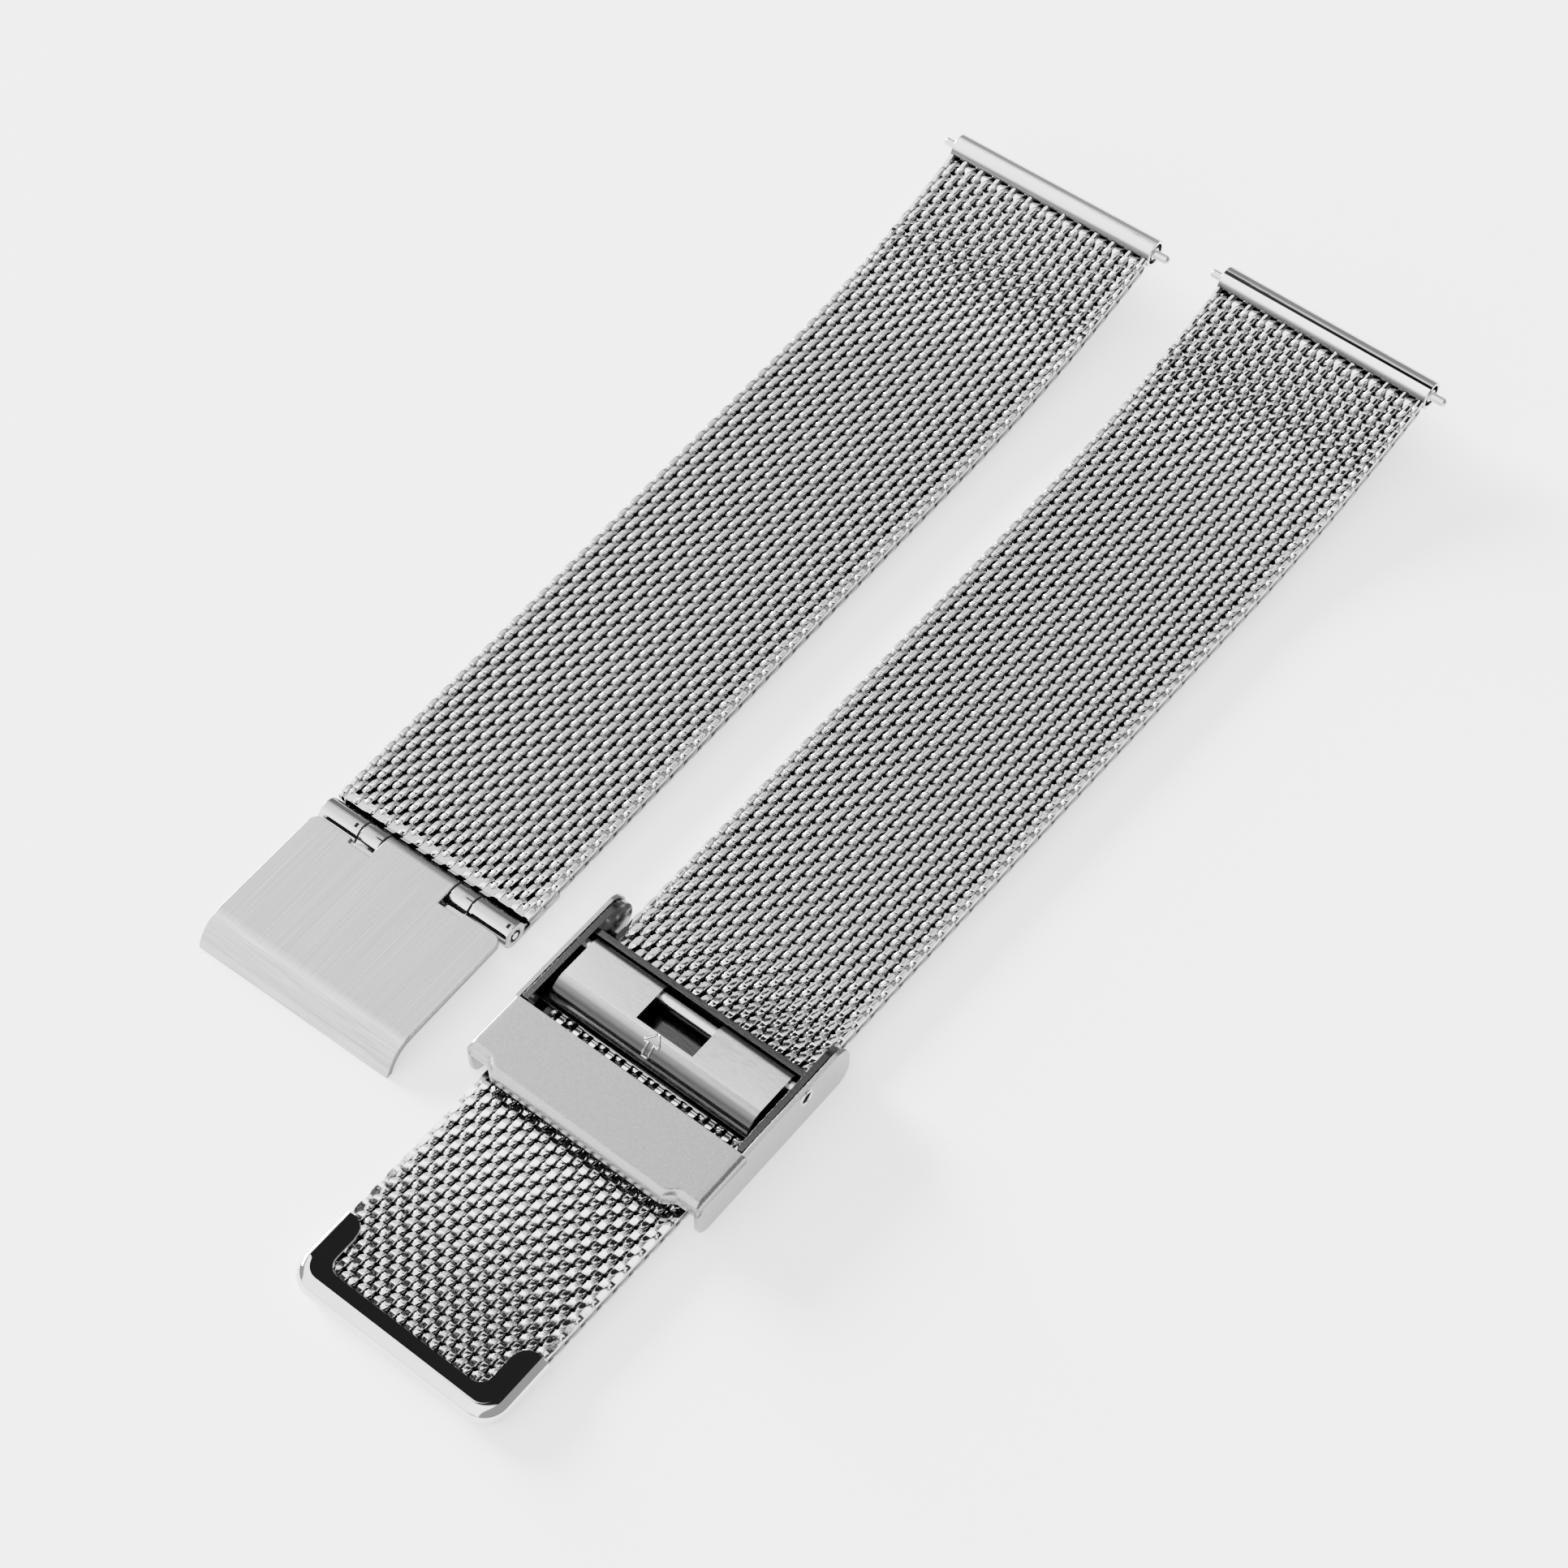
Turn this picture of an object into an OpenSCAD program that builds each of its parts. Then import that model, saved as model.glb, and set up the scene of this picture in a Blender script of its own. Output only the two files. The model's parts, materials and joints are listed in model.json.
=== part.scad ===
// Woven mesh watch band laid out open: strap A ends in a folding cover plate with a hook,
// strap B carries the sliding lock and ends in a capped tail. Millimetres, +Z up. Both straps
// run along Y with their lug ends at +Y, and the band lies on the plane z = 0.

/* [Pair] */
// Distance between the centre lines of the two straps at their lug ends
pair_pitch = 25.7; // [25:0.1:40]
// How far the lug end of strap B lies ahead of the lug end of strap A
pair_step = 0.9; // [0:0.1:3]
// Angle by which strap B is turned towards strap A
pair_turn = 1.25; // [0:0.25:2]

/* [Mesh] */
// Width between the watch lugs that the band is made for
lug_w = 20; // [19:0.5:22]
// How much narrower the mesh is than the lug width
mesh_play = 0.3; // [0.2:0.05:0.6]
// Width of the mesh where it meets the cover plate
clasp_w = 18.2; // [17.2:0.1:18.6]
// Thickness of the mesh over its coils
mesh_t = 1.2; // [1:0.05:1.4]
// Distance from one row of coils to the next
row_p = 0.82; // [0.78:0.01:0.9]
// Rows of coils in one bending length of mesh
link_rows = 12; // [11:1:13]
// Rows of coils fixed to the lug tube
lug_rows = 6; // [5:1:8]
// Rows of coils in the last length of strap A
end_rows = 17; // [14:1:20]
// Rows of coils in the straight length of strap B that carries the lock
tail_rows = 68; // [66:1:76]
// Gap between two bending lengths of mesh
seam = 0.1; // [0.08:0.01:0.16]
// Radius to which the mesh curls up near the lug end
curl_r = 92; // [70:1:200]

/* [Lug end] */
// Outer diameter of the lug tube
tube_d = 2.4; // [2.2:0.05:2.6]
// Bore of the lug tube
tube_bore = 1.8; // [1.74:0.02:1.86]
// How much shorter the lug tube is than the lug width
tube_play = 0.2; // [0.1:0.05:0.6]
// Outer diameter of the spring bar's barrel
bar_d = 1.6; // [1.5:0.02:1.64]
// Bore of the barrel
bar_bore = 1.3; // [1.28:0.01:1.32]
// How far the barrel sits inside each end of the tube
bar_in = 0.5; // [0.3:0.05:0.9]
// Diameter of a spring bar tip where it enters the watch lug
tip_d = 0.72; // [0.68:0.01:0.74]
// Diameter of the tip's shoulder inside the tube
shoulder_d = 1.04; // [1.03:0.01:1.06]
// How far a tip stands out of the lug tube
tip_out = 1.3; // [1.2:0.05:1.6]
// Length of the piston behind the tip
piston_l = 3; // [2.8:0.1:3.6]
// Radial clearance of the piston in the barrel
piston_play = 0.05; // [0.03:0.01:0.08]
// Outer diameter of the spring between the pistons
coil_d = 0.48; // [0.44:0.01:0.49]

/* [Cover plate] */
// Diameter of the hinge pin
hinge_pin_d = 1.1; // [1:0.05:1.2]
// Radial clearance of the hinge pin in the moving knuckles
pin_play = 0.04; // [0.02:0.01:0.08]
// Gap between the last coils of the mesh and the knuckles
knuckle_gap = 0.16; // [0.12:0.02:0.4]
// Thickness of the sheet under the end of the mesh
link_t = 0.4; // [0.3:0.02:0.42]
// Length of that sheet under the mesh
link_l = 3.6; // [3:0.2:6]
// Half width of the tongue of the cover plate between the short knuckles
tongue_w = 3.3; // [2.8:0.1:3.6]
// Length of each short knuckle, on the hook leaf
short_l = 1.85; // [1.5:0.05:2.1]
// Sideways gap between two knuckles
knuckle_side = 0.1; // [0.06:0.01:0.16]
// Width of the cover plate
cover_w = 18; // [17.6:0.1:18.6]
// Thickness of the cover plate
cover_t = 0.6; // [0.5:0.02:0.62]
// Distance from the hinge to where the lip of the plate starts to curve
cover_flat = 11.25; // [10.8:0.05:13]
// Outer radius of the curved lip
lip_r = 3; // [2.7:0.1:3.3]
// Thickness of the hook leaf
leaf_t = 0.35; // [0.3:0.01:0.38]
// Width of the hook
hook_w = 4.2; // [3.4:0.1:4.6]
// Inner radius of the hook
hook_r = 0.525; // [0.5:0.005:0.54]
// Distance from the hinge to the centre of the hook
hook_l = 11.6; // [11:0.1:11.7]
// Distance from the hinge over which the hook leaf keeps its full width
leaf_wide = 6.5; // [5.5:0.1:7.5]
// Length over which the hook leaf narrows to the hook
leaf_taper = 2; // [1.5:0.1:2.5]

/* [Sliding lock] */
// Distance from the end of strap B's mesh to the lip of the lock's bridge
lock_at = 18.5; // [18:0.5:20]
// Thickness of the sheet that the lock's frame is folded from
frame_t = 0.35; // [0.3:0.01:0.36]
// Clearance between the mesh and the frame above and below it
mesh_gap = 0.15; // [0.12:0.01:0.2]
// Height of the lock
lock_h = 4.1; // [4:0.05:4.3]
// How far the side wings of the frame reach beyond the lock pin
wing_end = 2.3; // [2.1:0.1:2.9]
// Width inside the lock's tray
tray_w = 18.9; // [18.8:0.05:19.2]
// Thickness of the tray's side walls
tray_wall = 0.5; // [0.4:0.05:0.6]
// Gap between the tray and the side wings of the frame
wing_gap = 0.1; // [0.06:0.02:0.2]
// Thickness of the tray's floor
tray_t = 0.25; // [0.2:0.01:0.28]
// Distance from the bridge's lip to the front edge of the tray's floor
tray_at = 7.6; // [7.2:0.1:7.8]
// Length of the bridge along the strap
bridge_l = 6; // [5:0.1:6.2]
// Thickness of the bridge
bridge_t = 0.5; // [0.4:0.05:0.6]
// How far the middle of the bridge's lip stands out
lip_step = 0.7; // [0.4:0.1:1]
// Width of the part of the lip that stands out
lip_w = 16.4; // [14:0.2:18]
// Distance from the bridge's lip to the lock pin
pin_at = 12.5; // [12.3:0.1:12.8]
// Diameter of the lock pin
lock_pin_d = 1; // [0.96:0.01:1.02]
// Outer radius of the flap's eye around the pin
eye_r = 0.85; // [0.78:0.01:0.87]
// Width of the flap
flap_w = 17.9; // [17:0.1:18.4]
// Thickness of the flap
flap_t = 0.45; // [0.35:0.01:0.5]
// Length of the flat top of the flap
flap_flat = 3.1; // [2.8:0.1:3.4]
// Radius of the bend at the front of the flap
flap_bend = 1.8; // [1.6:0.05:1.85]
// Width of the window in the flap
window_w = 5.1; // [4.8:0.1:6]
// Length of the window
window_l = 2.5; // [2.2:0.1:2.8]
// Width of the nail slot along the front edge of the flap
slot_w = 10.4; // [8:0.2:13]
// Height of the nail slot
slot_h = 0.35; // [0.2:0.05:0.5]
// How far the tray's ears reach beyond the lock pin
ear_l = 4.9; // [4.5:0.1:5.5]

/* [Tail cap] */
// Thickness of the cap's wall beside the mesh
cap_wall = 0.4; // [0.35:0.05:0.6]
// Thickness of the cap's wall across the end
cap_end_wall = 0.8; // [0.6:0.05:0.9]
// Length of the cap's side arms
cap_l = 6.2; // [5.6:0.2:8]
// Outer diameter of the rounded rim
cap_d = 2.1; // [2:0.02:2.2]
// Width of the flat flange on the mesh across the end
flange_end = 1.1; // [0.9:0.1:1.6]
// Width of the flat flange along each side
flange_side = 1.4; // [1.1:0.1:2]
// Thickness of the flanges
flange_t = 0.3; // [0.24:0.01:0.34]
// Radius of the cap's outer corners
cap_corner = 2.2; // [2.1:0.1:2.8]

/* [Hidden] */
$fn = 48;
eps = 0.01;

// Numbers of the last lengths of mesh on each strap, and of the lengths that curl up
last_a = 7;
last_b = 6;
curled = 2;

// Mesh, seen from the side
mesh_w = lug_w - mesh_play;
half_t = mesh_t / 2;
lug_len = lug_rows * row_p;
link_len = link_rows * row_p;
mid_z = frame_t + mesh_gap + half_t;
row_bulge = half_t - row_p / 2;
to_deg = 180 / PI;

// Length of mesh number i, whose last number on its strap is last and has last_rows rows
function len_of(i, last, last_rows) =
    i == 0 ? lug_len : i == last ? last_rows * row_p : link_len;
// Upward tilt of mesh number i towards the lug
function tilt(i) =
    i > curled ? 0 :
    i == 0 ? (curled * link_len + lug_len / 2) / curl_r * to_deg :
    (curled - i + 0.5) * link_len / curl_r * to_deg;
// Height that the curled lengths climb from number i to the last of them
function climb(i) =
    i > curled ? 0 : (i == 0 ? lug_len : link_len) * sin(tilt(i)) + climb(i + 1);
// End of mesh number i - 1 and start of mesh number i, along the strap and in height
function seam_y(i) =
    i == 0 ? 0 : seam_y(i - 1) - (i == 1 ? lug_len : link_len) * cos(tilt(i - 1));
function seam_z(i) = mid_z + climb(i);
// Distance along the mesh from the lug end to the start of number i
function run(i) = i == 0 ? 0 : lug_len + (i - 1) * link_len;
run_a = run(last_a) + end_rows * row_p;
// Width of the mesh at a distance from the lug end
function width_at(s) = mesh_w - (mesh_w - clasp_w) * s / run_a;

end_a = seam_y(last_a) - end_rows * row_p;
end_b = seam_y(last_b) - tail_rows * row_p;

// Lug tube: its axis beyond the last coils, which lie against it
tube_r = tube_d / 2;
tube_l = lug_w - tube_play;
tube_off = sqrt(pow(tube_r, 2) - pow(half_t, 2));
weld_gap = 0.02;

// Spring bar
bar_l = tube_l - 2 * bar_in;
crimp_l = 0.4;
slip = 0.03;
seat = 0.02;
shoulder_in = 0.05;
piston_d = bar_bore - 2 * piston_play;
piston_x = bar_l / 2 - crimp_l - seat;
cup_d = coil_d + 0.08;
cup_l = piston_l - 0.6;
tip_travel = tip_out - 0.1;
coil_l = 2 * (piston_x - piston_l + cup_l - tip_travel - 0.18);
nose_cone = 0.2;

// Hinge of the cover plate
knuckle_r = mid_z;
hinge_y = end_a - row_bulge - knuckle_gap - knuckle_r;
short_x0 = tongue_w + knuckle_side;
short_x1 = short_x0 + short_l;
long_x0 = short_x1 + knuckle_side;
link_x1 = cover_w / 2;
moving_bore = hinge_pin_d / 2 + pin_play;
cover_top = mid_z + knuckle_r;
leaf_gap = 0.15;
leaf_top = cover_top - cover_t - leaf_gap;
leaf_mid = leaf_top - leaf_t / 2;
hook_mid_r = hook_r + leaf_t / 2;
hook_turn = 125;
knuckle_room = 0.12;
corner_r = 0.8;

// Sliding lock
lip_y = end_b + lock_at;
frame_l = pin_at + wing_end;
wing_x0 = tray_w / 2 + tray_wall + wing_gap;
wing_x1 = wing_x0 + frame_t;
pin_y = lip_y + pin_at;
pin_z = lock_h - eye_r;
tray_z = mid_z + half_t + 0.1;
tray_top = tray_z + tray_t;
tray_front = lip_y + tray_at;
wall_y = pin_y + eye_r + 0.06;
wall_t = 0.5;
rim_z = lock_h - 0.4;
ear_end = pin_y + ear_l;
ear_r = (lock_h - 0.1) / 2;
wing_round = 1.5;
wing_bottom = 1.2;
lip_bend = 1;
lip_drop = 1.4;
flap_turn = 75;
flap_foot = 0.5;
slot_depth = 0.2;

// Tail cap
cap_r = cap_d / 2;
cap_clear = 0.05;
run_b = run(last_b) + tail_rows * row_p;
pocket_x = width_at(run_b - cap_l) / 2 + cap_clear;
pocket_corner = cap_corner - cap_end_wall;
tail_corner = pocket_corner - cap_clear;
pocket_h = mesh_t + 2 * cap_clear;
cap_w = 2 * (pocket_x + cap_wall);
cap_end = end_b - row_bulge - cap_clear - cap_end_wall;

// The origin lies on the floor under the centre of the whole layout
turn_drop = cap_w / 2 * sin(pair_turn);
front_y = pair_step + tube_off * cos(tilt(0)) + tube_r;
back_y = pair_step + cap_end * cos(pair_turn) - turn_drop;
centre_y = (front_y + back_y) / 2;

module strap_a() {
    translate([-pair_pitch / 2, -centre_y, 0]) children();
}

module strap_b() {
    translate([pair_pitch / 2, pair_step - centre_y, 0]) rotate([0, 0, -pair_turn]) children();
}

// Frame of mesh number i: its origin is at the end away from the lug
module on_mesh(i, far_y) {
    translate([0, far_y, seam_z(i + 1)]) rotate([tilt(i), 0, 0]) children();
}

module on_tube() {
    on_mesh(0, seam_y(1)) translate([0, lug_len + tube_off, 0]) children();
}

// Extrudes an outline drawn in Y and Z over a width centred on the strap
module across(w) {
    translate([-w / 2, 0, 0]) rotate([90, 0, 90]) linear_extrude(w) children();
}

// Round bar across the strap from x0 to x1
module rod(r, x0, x1) {
    translate([x0, 0, 0]) rotate([0, 90, 0]) cylinder(r = r, h = x1 - x0);
}

module both_sides() {
    children();
    mirror([1, 0, 0]) children();
}

// Rows of coils from the end away from the lug, with slim rows beside each seam
module coil_rows(rows, slim_first, slim_last) {
    slim_r = (row_p - seam) / 2;
    for (i = [0 : rows - 1]) {
        slim = (i == 0 && slim_first) || (i == rows - 1 && slim_last);
        translate([(i + 0.5) * row_p, 0]) circle(r = slim ? slim_r : half_t);
    }
}

// One length of mesh, cut to the taper of the strap
module mesh_length(rows, start, slim_first, slim_last) {
    run_l = rows * row_p;
    over = row_p;
    w_lug = width_at(start - over);
    w_far = width_at(start + run_l + over);
    intersection() {
        across(lug_w) coil_rows(rows, slim_first, slim_last);
        translate([0, 0, -mesh_t]) linear_extrude(2 * mesh_t)
            polygon([[-w_far / 2, -over], [w_far / 2, -over],
                     [w_lug / 2, run_l + over], [-w_lug / 2, run_l + over]]);
    }
}

module mesh_lug() {
    color("silver") on_mesh(0, seam_y(1)) difference() {
        mesh_length(lug_rows, 0, true, false);
        translate([0, lug_len + tube_off, 0]) rod(tube_r + weld_gap, -lug_w, lug_w);
    }
}

module mesh_a(i) {
    rows = i == last_a ? end_rows : link_rows;
    color("silver") on_mesh(i, seam_y(i) - rows * row_p * cos(tilt(i)))
        mesh_length(rows, run(i), i != last_a, true);
}

module mesh_b(i) {
    rows = i == last_b ? tail_rows : link_rows;
    color("silver") on_mesh(i, seam_y(i) - rows * row_p * cos(tilt(i))) difference() {
        mesh_length(rows, run(i), i != last_b, true);
        if (i == last_b) both_sides()
            translate([width_at(run_b) / 2 - tail_corner, tail_corner - row_bulge, -mesh_t])
                linear_extrude(2 * mesh_t) corner_cut(tail_corner, 1, -1);
    }
}

module lug_tube() {
    color("gainsboro") on_tube() difference() {
        rod(tube_r, -tube_l / 2, tube_l / 2);
        rod(tube_bore / 2, -tube_l, tube_l);
    }
}

module spring_bar() {
    color("lightgray") on_tube() difference() {
        rod(bar_d / 2, -bar_l / 2, bar_l / 2);
        rod(bar_bore / 2, -bar_l / 2 + crimp_l, bar_l / 2 - crimp_l);
        rod(shoulder_d / 2 + slip, -bar_l, bar_l);
    }
}

// Spring inside the barrel, wound close, its ends inside the two hollow pistons
module bar_spring() {
    color("darkgray") on_tube() difference() {
        rod(coil_d / 2, -coil_l / 2, coil_l / 2);
        rod(coil_d / 2 - 0.12, -coil_l, coil_l);
    }
}

module tip() {
    color("gainsboro") on_tube() {
        difference() {
            union() {
                rod(piston_d / 2, piston_x - piston_l, piston_x);
                rod(shoulder_d / 2, piston_x - eps, tube_l / 2 - shoulder_in);
                rod(tip_d / 2, tube_l / 2 - shoulder_in - eps, tube_l / 2 + tip_out - nose_cone);
                translate([tube_l / 2 + tip_out - nose_cone, 0, 0]) rotate([0, 90, 0])
                    cylinder(r1 = tip_d / 2, r2 = tip_d / 4, h = nose_cone);
            }
            rod(cup_d / 2, piston_x - piston_l - 1, piston_x - piston_l + cup_l);
        }
    }
}

module tip_left() {
    mirror([1, 0, 0]) tip();
}

module on_hinge() {
    translate([0, hinge_y, mid_z]) children();
}

// Sheet under the end of strap A with the two long outer knuckles
module end_link() {
    color("gainsboro") difference() {
        union() {
            both_sides() on_hinge() rod(knuckle_r, long_x0, link_x1);
            across(2 * link_x1)
                translate([hinge_y + knuckle_r, 0]) square([link_l + end_a - hinge_y - knuckle_r, link_t]);
            both_sides() translate([long_x0, hinge_y, 0])
                cube([link_x1 - long_x0, mid_z, link_t]);
        }
        on_hinge() rod(hinge_pin_d / 2, -lug_w, lug_w);
        across(2 * (long_x0 - eps)) translate([hinge_y, mid_z])
            circle(r = knuckle_r + knuckle_room);
    }
}

module hinge_pin() {
    color("lightgray") on_hinge() rod(hinge_pin_d / 2, -link_x1, link_x1);
}

// Leaf under the cover plate: short knuckles at the hinge and a narrow hook at the free end
module hook_leaf() {
    hook_y = hinge_y - hook_l;
    wide_end = hinge_y - leaf_wide;
    neck_end = wide_end - leaf_taper;
    color("lightgray") difference() {
        union() {
            both_sides() on_hinge() rod(knuckle_r, short_x0, short_x1);
            intersection() {
                across(2 * short_x1) translate([hook_y, leaf_mid - leaf_t / 2])
                    square([hook_l - moving_bore, leaf_t]);
                linear_extrude(lock_h) polygon([
                    [-short_x1, hinge_y], [-short_x1, wide_end], [-hook_w / 2, neck_end],
                    [-hook_w / 2, hook_y - 1], [hook_w / 2, hook_y - 1],
                    [hook_w / 2, neck_end], [short_x1, wide_end], [short_x1, hinge_y]]);
            }
            across(hook_w) translate([hook_y + eps, leaf_mid - hook_mid_r])
                hook_arc(hook_mid_r, leaf_t, hook_turn);
        }
        on_hinge() rod(moving_bore, -lug_w, lug_w);
        across(2 * (tongue_w + knuckle_side)) translate([hinge_y, mid_z])
            circle(r = knuckle_r + knuckle_room);
    }
}

// Bent strip from the top of a circle round its -Y side, turned through an angle
module hook_arc(r_mid, t, turn) {
    reach = 3 * r_mid;
    intersection() {
        difference() {
            circle(r = r_mid + t / 2);
            circle(r = r_mid - t / 2);
        }
        polygon([[0, 0], [0, reach], [-reach, reach], [-reach, 0],
                 [-reach * sin(turn), reach * cos(turn)]]);
    }
}

// Cover plate: rolled tongue on the hinge, flat plate and lip curved down to the floor
module cover_plate() {
    flat_end = hinge_y - cover_flat;
    long_edge = hinge_y - knuckle_r - knuckle_room;
    short_edge = long_edge - 0.45;
    lip_c = cover_top - lip_r;
    color("silver") difference() {
        union() {
            on_hinge() rod(knuckle_r, -tongue_w, tongue_w);
            intersection() {
                across(cover_w) {
                    translate([flat_end, cover_top - cover_t])
                        square([cover_flat + eps, cover_t]);
                    translate([flat_end + eps, lip_c]) intersection() {
                        hook_arc(lip_r - cover_t / 2, cover_t, 89);
                        translate([-2 * lip_r, -lip_c]) square([3 * lip_r, 3 * lip_r]);
                    }
                }
                linear_extrude(lock_h) cover_outline(flat_end - lip_r - 1, long_edge);
            }
        }
        on_hinge() rod(moving_bore, -lug_w, lug_w);
        both_sides() translate([short_x0 - knuckle_side, short_edge, -1])
            cube([short_l + 2 * knuckle_side, lug_w, lug_w]);
    }
}

// Plan of the cover plate with rounded corners beside the long knuckles
module cover_outline(y0, y1) {
    half = cover_w / 2;
    translate([-half, y0]) square([cover_w, y1 - y0 - corner_r]);
    translate([-half + corner_r, y0]) square([cover_w - 2 * corner_r, y1 - y0]);
    for (x = [-half + corner_r, half - corner_r])
        translate([x, y1 - corner_r]) circle(r = corner_r);
    translate([-tongue_w, y0]) square([2 * tongue_w, hinge_y - y0]);
}

// Side view of a wing of the frame, from the lip to its rounded end
module wing_outline() {
    y1 = lip_y + frame_l;
    y0 = lip_y + lip_step;
    difference() {
        translate([y0, 0]) square([y1 - y0, lock_h]);
        translate([y1 - wing_round, lock_h - wing_round]) corner_cut(wing_round, 1, 1);
        translate([y1 - wing_round, wing_round]) corner_cut(wing_round, 1, -1);
        translate([y0 + wing_bottom, wing_bottom]) corner_cut(wing_bottom, -1, -1);
    }
}

// What is cut from a square corner to round it; sx and sy point to the corner
module corner_cut(r, sx, sy) {
    difference() {
        translate([sx > 0 ? 0 : -2 * r, sy > 0 ? 0 : -2 * r]) square(2 * r);
        circle(r = r);
    }
}

// Side view of the bridge with its lip turned down, standing out by a step
module bridge_outline(step) {
    y0 = lip_y + lip_step - step;
    translate([y0 + lip_bend - eps, lock_h - bridge_t])
        square([bridge_l - lip_step + step - lip_bend, bridge_t]);
    translate([y0 + lip_bend, lock_h - lip_bend])
        hook_arc(lip_bend - bridge_t / 2, bridge_t, 90);
    translate([y0, lock_h - lip_drop]) square([bridge_t, lip_drop - lip_bend + eps]);
}

// Folded frame of the lock: floor sheet, two side wings and the bridge over the mesh
module slider_frame() {
    floor_y0 = lip_y + lip_step + wing_bottom;
    floor_y1 = lip_y + frame_l - wing_round;
    color("silver") union() {
        both_sides() translate([wing_x0 + frame_t / 2, 0, 0])
            across(frame_t) difference() {
                wing_outline();
                translate([pin_y, pin_z]) circle(r = lock_pin_d / 2);
            }
        across(2 * wing_x0 + 2 * eps)
            translate([floor_y0, 0]) square([floor_y1 - floor_y0, frame_t]);
        across(2 * wing_x0 + 2 * eps) bridge_outline(0);
        across(lip_w) bridge_outline(lip_step);
    }
}

// Side view of a tray wall with its round ear
module tray_side() {
    y0 = lip_y + bridge_l + 0.1;
    ear_y = ear_end - ear_r;
    z0 = lock_h - 2 * ear_r;
    foot = frame_t + seat;
    difference() {
        union() {
            translate([y0, foot]) square([ear_y - y0, lock_h - foot]);
            translate([ear_y, z0 + ear_r]) circle(r = ear_r);
        }
        translate([lip_y, -1]) square([frame_l, 1 + foot]);
    }
}

// Tray of the lock: floor above the mesh, back wall, side walls and ears
module lock_tray() {
    color("gainsboro") difference() {
        union() {
            both_sides() translate([tray_w / 2 + tray_wall / 2, 0, 0])
                across(tray_wall) tray_side();
            across(tray_w + 2 * eps) {
                translate([tray_front, tray_z]) square([wall_y + wall_t - tray_front, tray_t]);
                translate([wall_y, tray_z]) square([wall_t, rim_z - tray_z]);
            }
        }
        translate([0, pin_y, pin_z]) rod(lock_pin_d / 2, -lug_w, lug_w);
    }
}

module lock_pin() {
    color("lightgray") translate([0, pin_y, pin_z])
        rod(lock_pin_d / 2 - seat / 2, -wing_x1, wing_x1);
}

// Side view of the flap: eye, flat top and front face bent down to the tray
module flap_outline() {
    bend_y = pin_y - flap_flat;
    foot_y = bend_y - flap_bend * sin(flap_turn);
    foot_z = lock_h - flap_bend + flap_bend * cos(flap_turn);
    translate([pin_y, pin_z]) circle(r = eye_r);
    translate([bend_y, lock_h - flap_t]) square([flap_flat, flap_t]);
    translate([bend_y + eps, lock_h - flap_bend])
        hook_arc(flap_bend - flap_t / 2, flap_t, flap_turn);
    translate([foot_y, foot_z]) rotate(90 - flap_turn)
        translate([0, -flap_foot]) square([flap_t, flap_foot + eps]);
}

// Flap that locks the slider: window over the pin and a nail slot in the front edge
module lock_flap() {
    slot_y = pin_y - flap_flat - flap_bend - 1;
    color("silver") difference() {
        across(flap_w) flap_outline();
        translate([0, pin_y, pin_z]) rod(lock_pin_d / 2 + pin_play, -lug_w, lug_w);
        translate([-window_w / 2, pin_y - eye_r - window_l + 0.55, tray_z])
            cube([window_w, window_l + 2 * eye_r, lock_h]);
        translate([-slot_w / 2, slot_y, 0])
            cube([slot_w, flap_bend + 1, lock_h - flap_bend - slot_depth + slot_h]);
    }
}

// U-shaped cap on the tail: rounded rim outside, flat flanges above and below the mesh
module tail_cap() {
    arm_y = cap_end + cap_l;
    rim_x = cap_w / 2 - cap_r;
    side_x = cap_w / 2 - cap_corner;
    color("gainsboro") difference() {
        union() {
            both_sides() translate([rim_x, cap_end + cap_corner, mid_z]) rotate([-90, 0, 0])
                cylinder(r = cap_r, h = cap_l - cap_corner);
            translate([0, cap_end + cap_r, mid_z]) rod(cap_r, -side_x, side_x);
            both_sides() translate([side_x, cap_end + cap_corner, mid_z]) rotate([0, 0, -90])
                rotate_extrude(angle = 90) intersection() {
                    translate([cap_corner - cap_r, 0]) circle(r = cap_r);
                    translate([0, -cap_r]) square([cap_corner, 2 * cap_r]);
                }
            translate([0, 0, mid_z - pocket_h / 2 - flange_t])
                linear_extrude(pocket_h + 2 * flange_t) flange_plan(arm_y);
        }
        translate([0, cap_end + cap_end_wall, mid_z - pocket_h / 2])
            linear_extrude(pocket_h) difference() {
                translate([-pocket_x, 0]) square([2 * pocket_x, cap_l]);
                both_sides() translate([pocket_x - pocket_corner, pocket_corner])
                    corner_cut(pocket_corner, 1, -1);
            }
    }
}

// Plan of the flanges: a U whose inner corners are rounded
module flange_plan(arm_y) {
    out_x = cap_w / 2 - cap_r;
    in_x = out_x - flange_side;
    in_y = cap_end + cap_r + flange_end;
    r = 1;
    difference() {
        translate([-out_x, cap_end + cap_r]) square([2 * out_x, arm_y - cap_end - cap_r]);
        translate([-in_x, in_y + r]) square([2 * in_x, cap_l]);
        translate([-in_x + r, in_y]) square([2 * in_x - 2 * r, cap_l]);
        for (x = [-in_x + r, in_x - r])
            translate([x, in_y + r]) circle(r = r);
        translate([-out_x, cap_end + cap_r]) corner_notch(cap_corner - cap_r);
        mirror([1, 0]) translate([-out_x, cap_end + cap_r]) corner_notch(cap_corner - cap_r);
    }
}

// Cuts a square outer corner back to the inner radius of the rim
module corner_notch(r) {
    difference() {
        translate([-1, -1]) square(r + 1);
        translate([r, r]) circle(r = r);
    }
}

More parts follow.
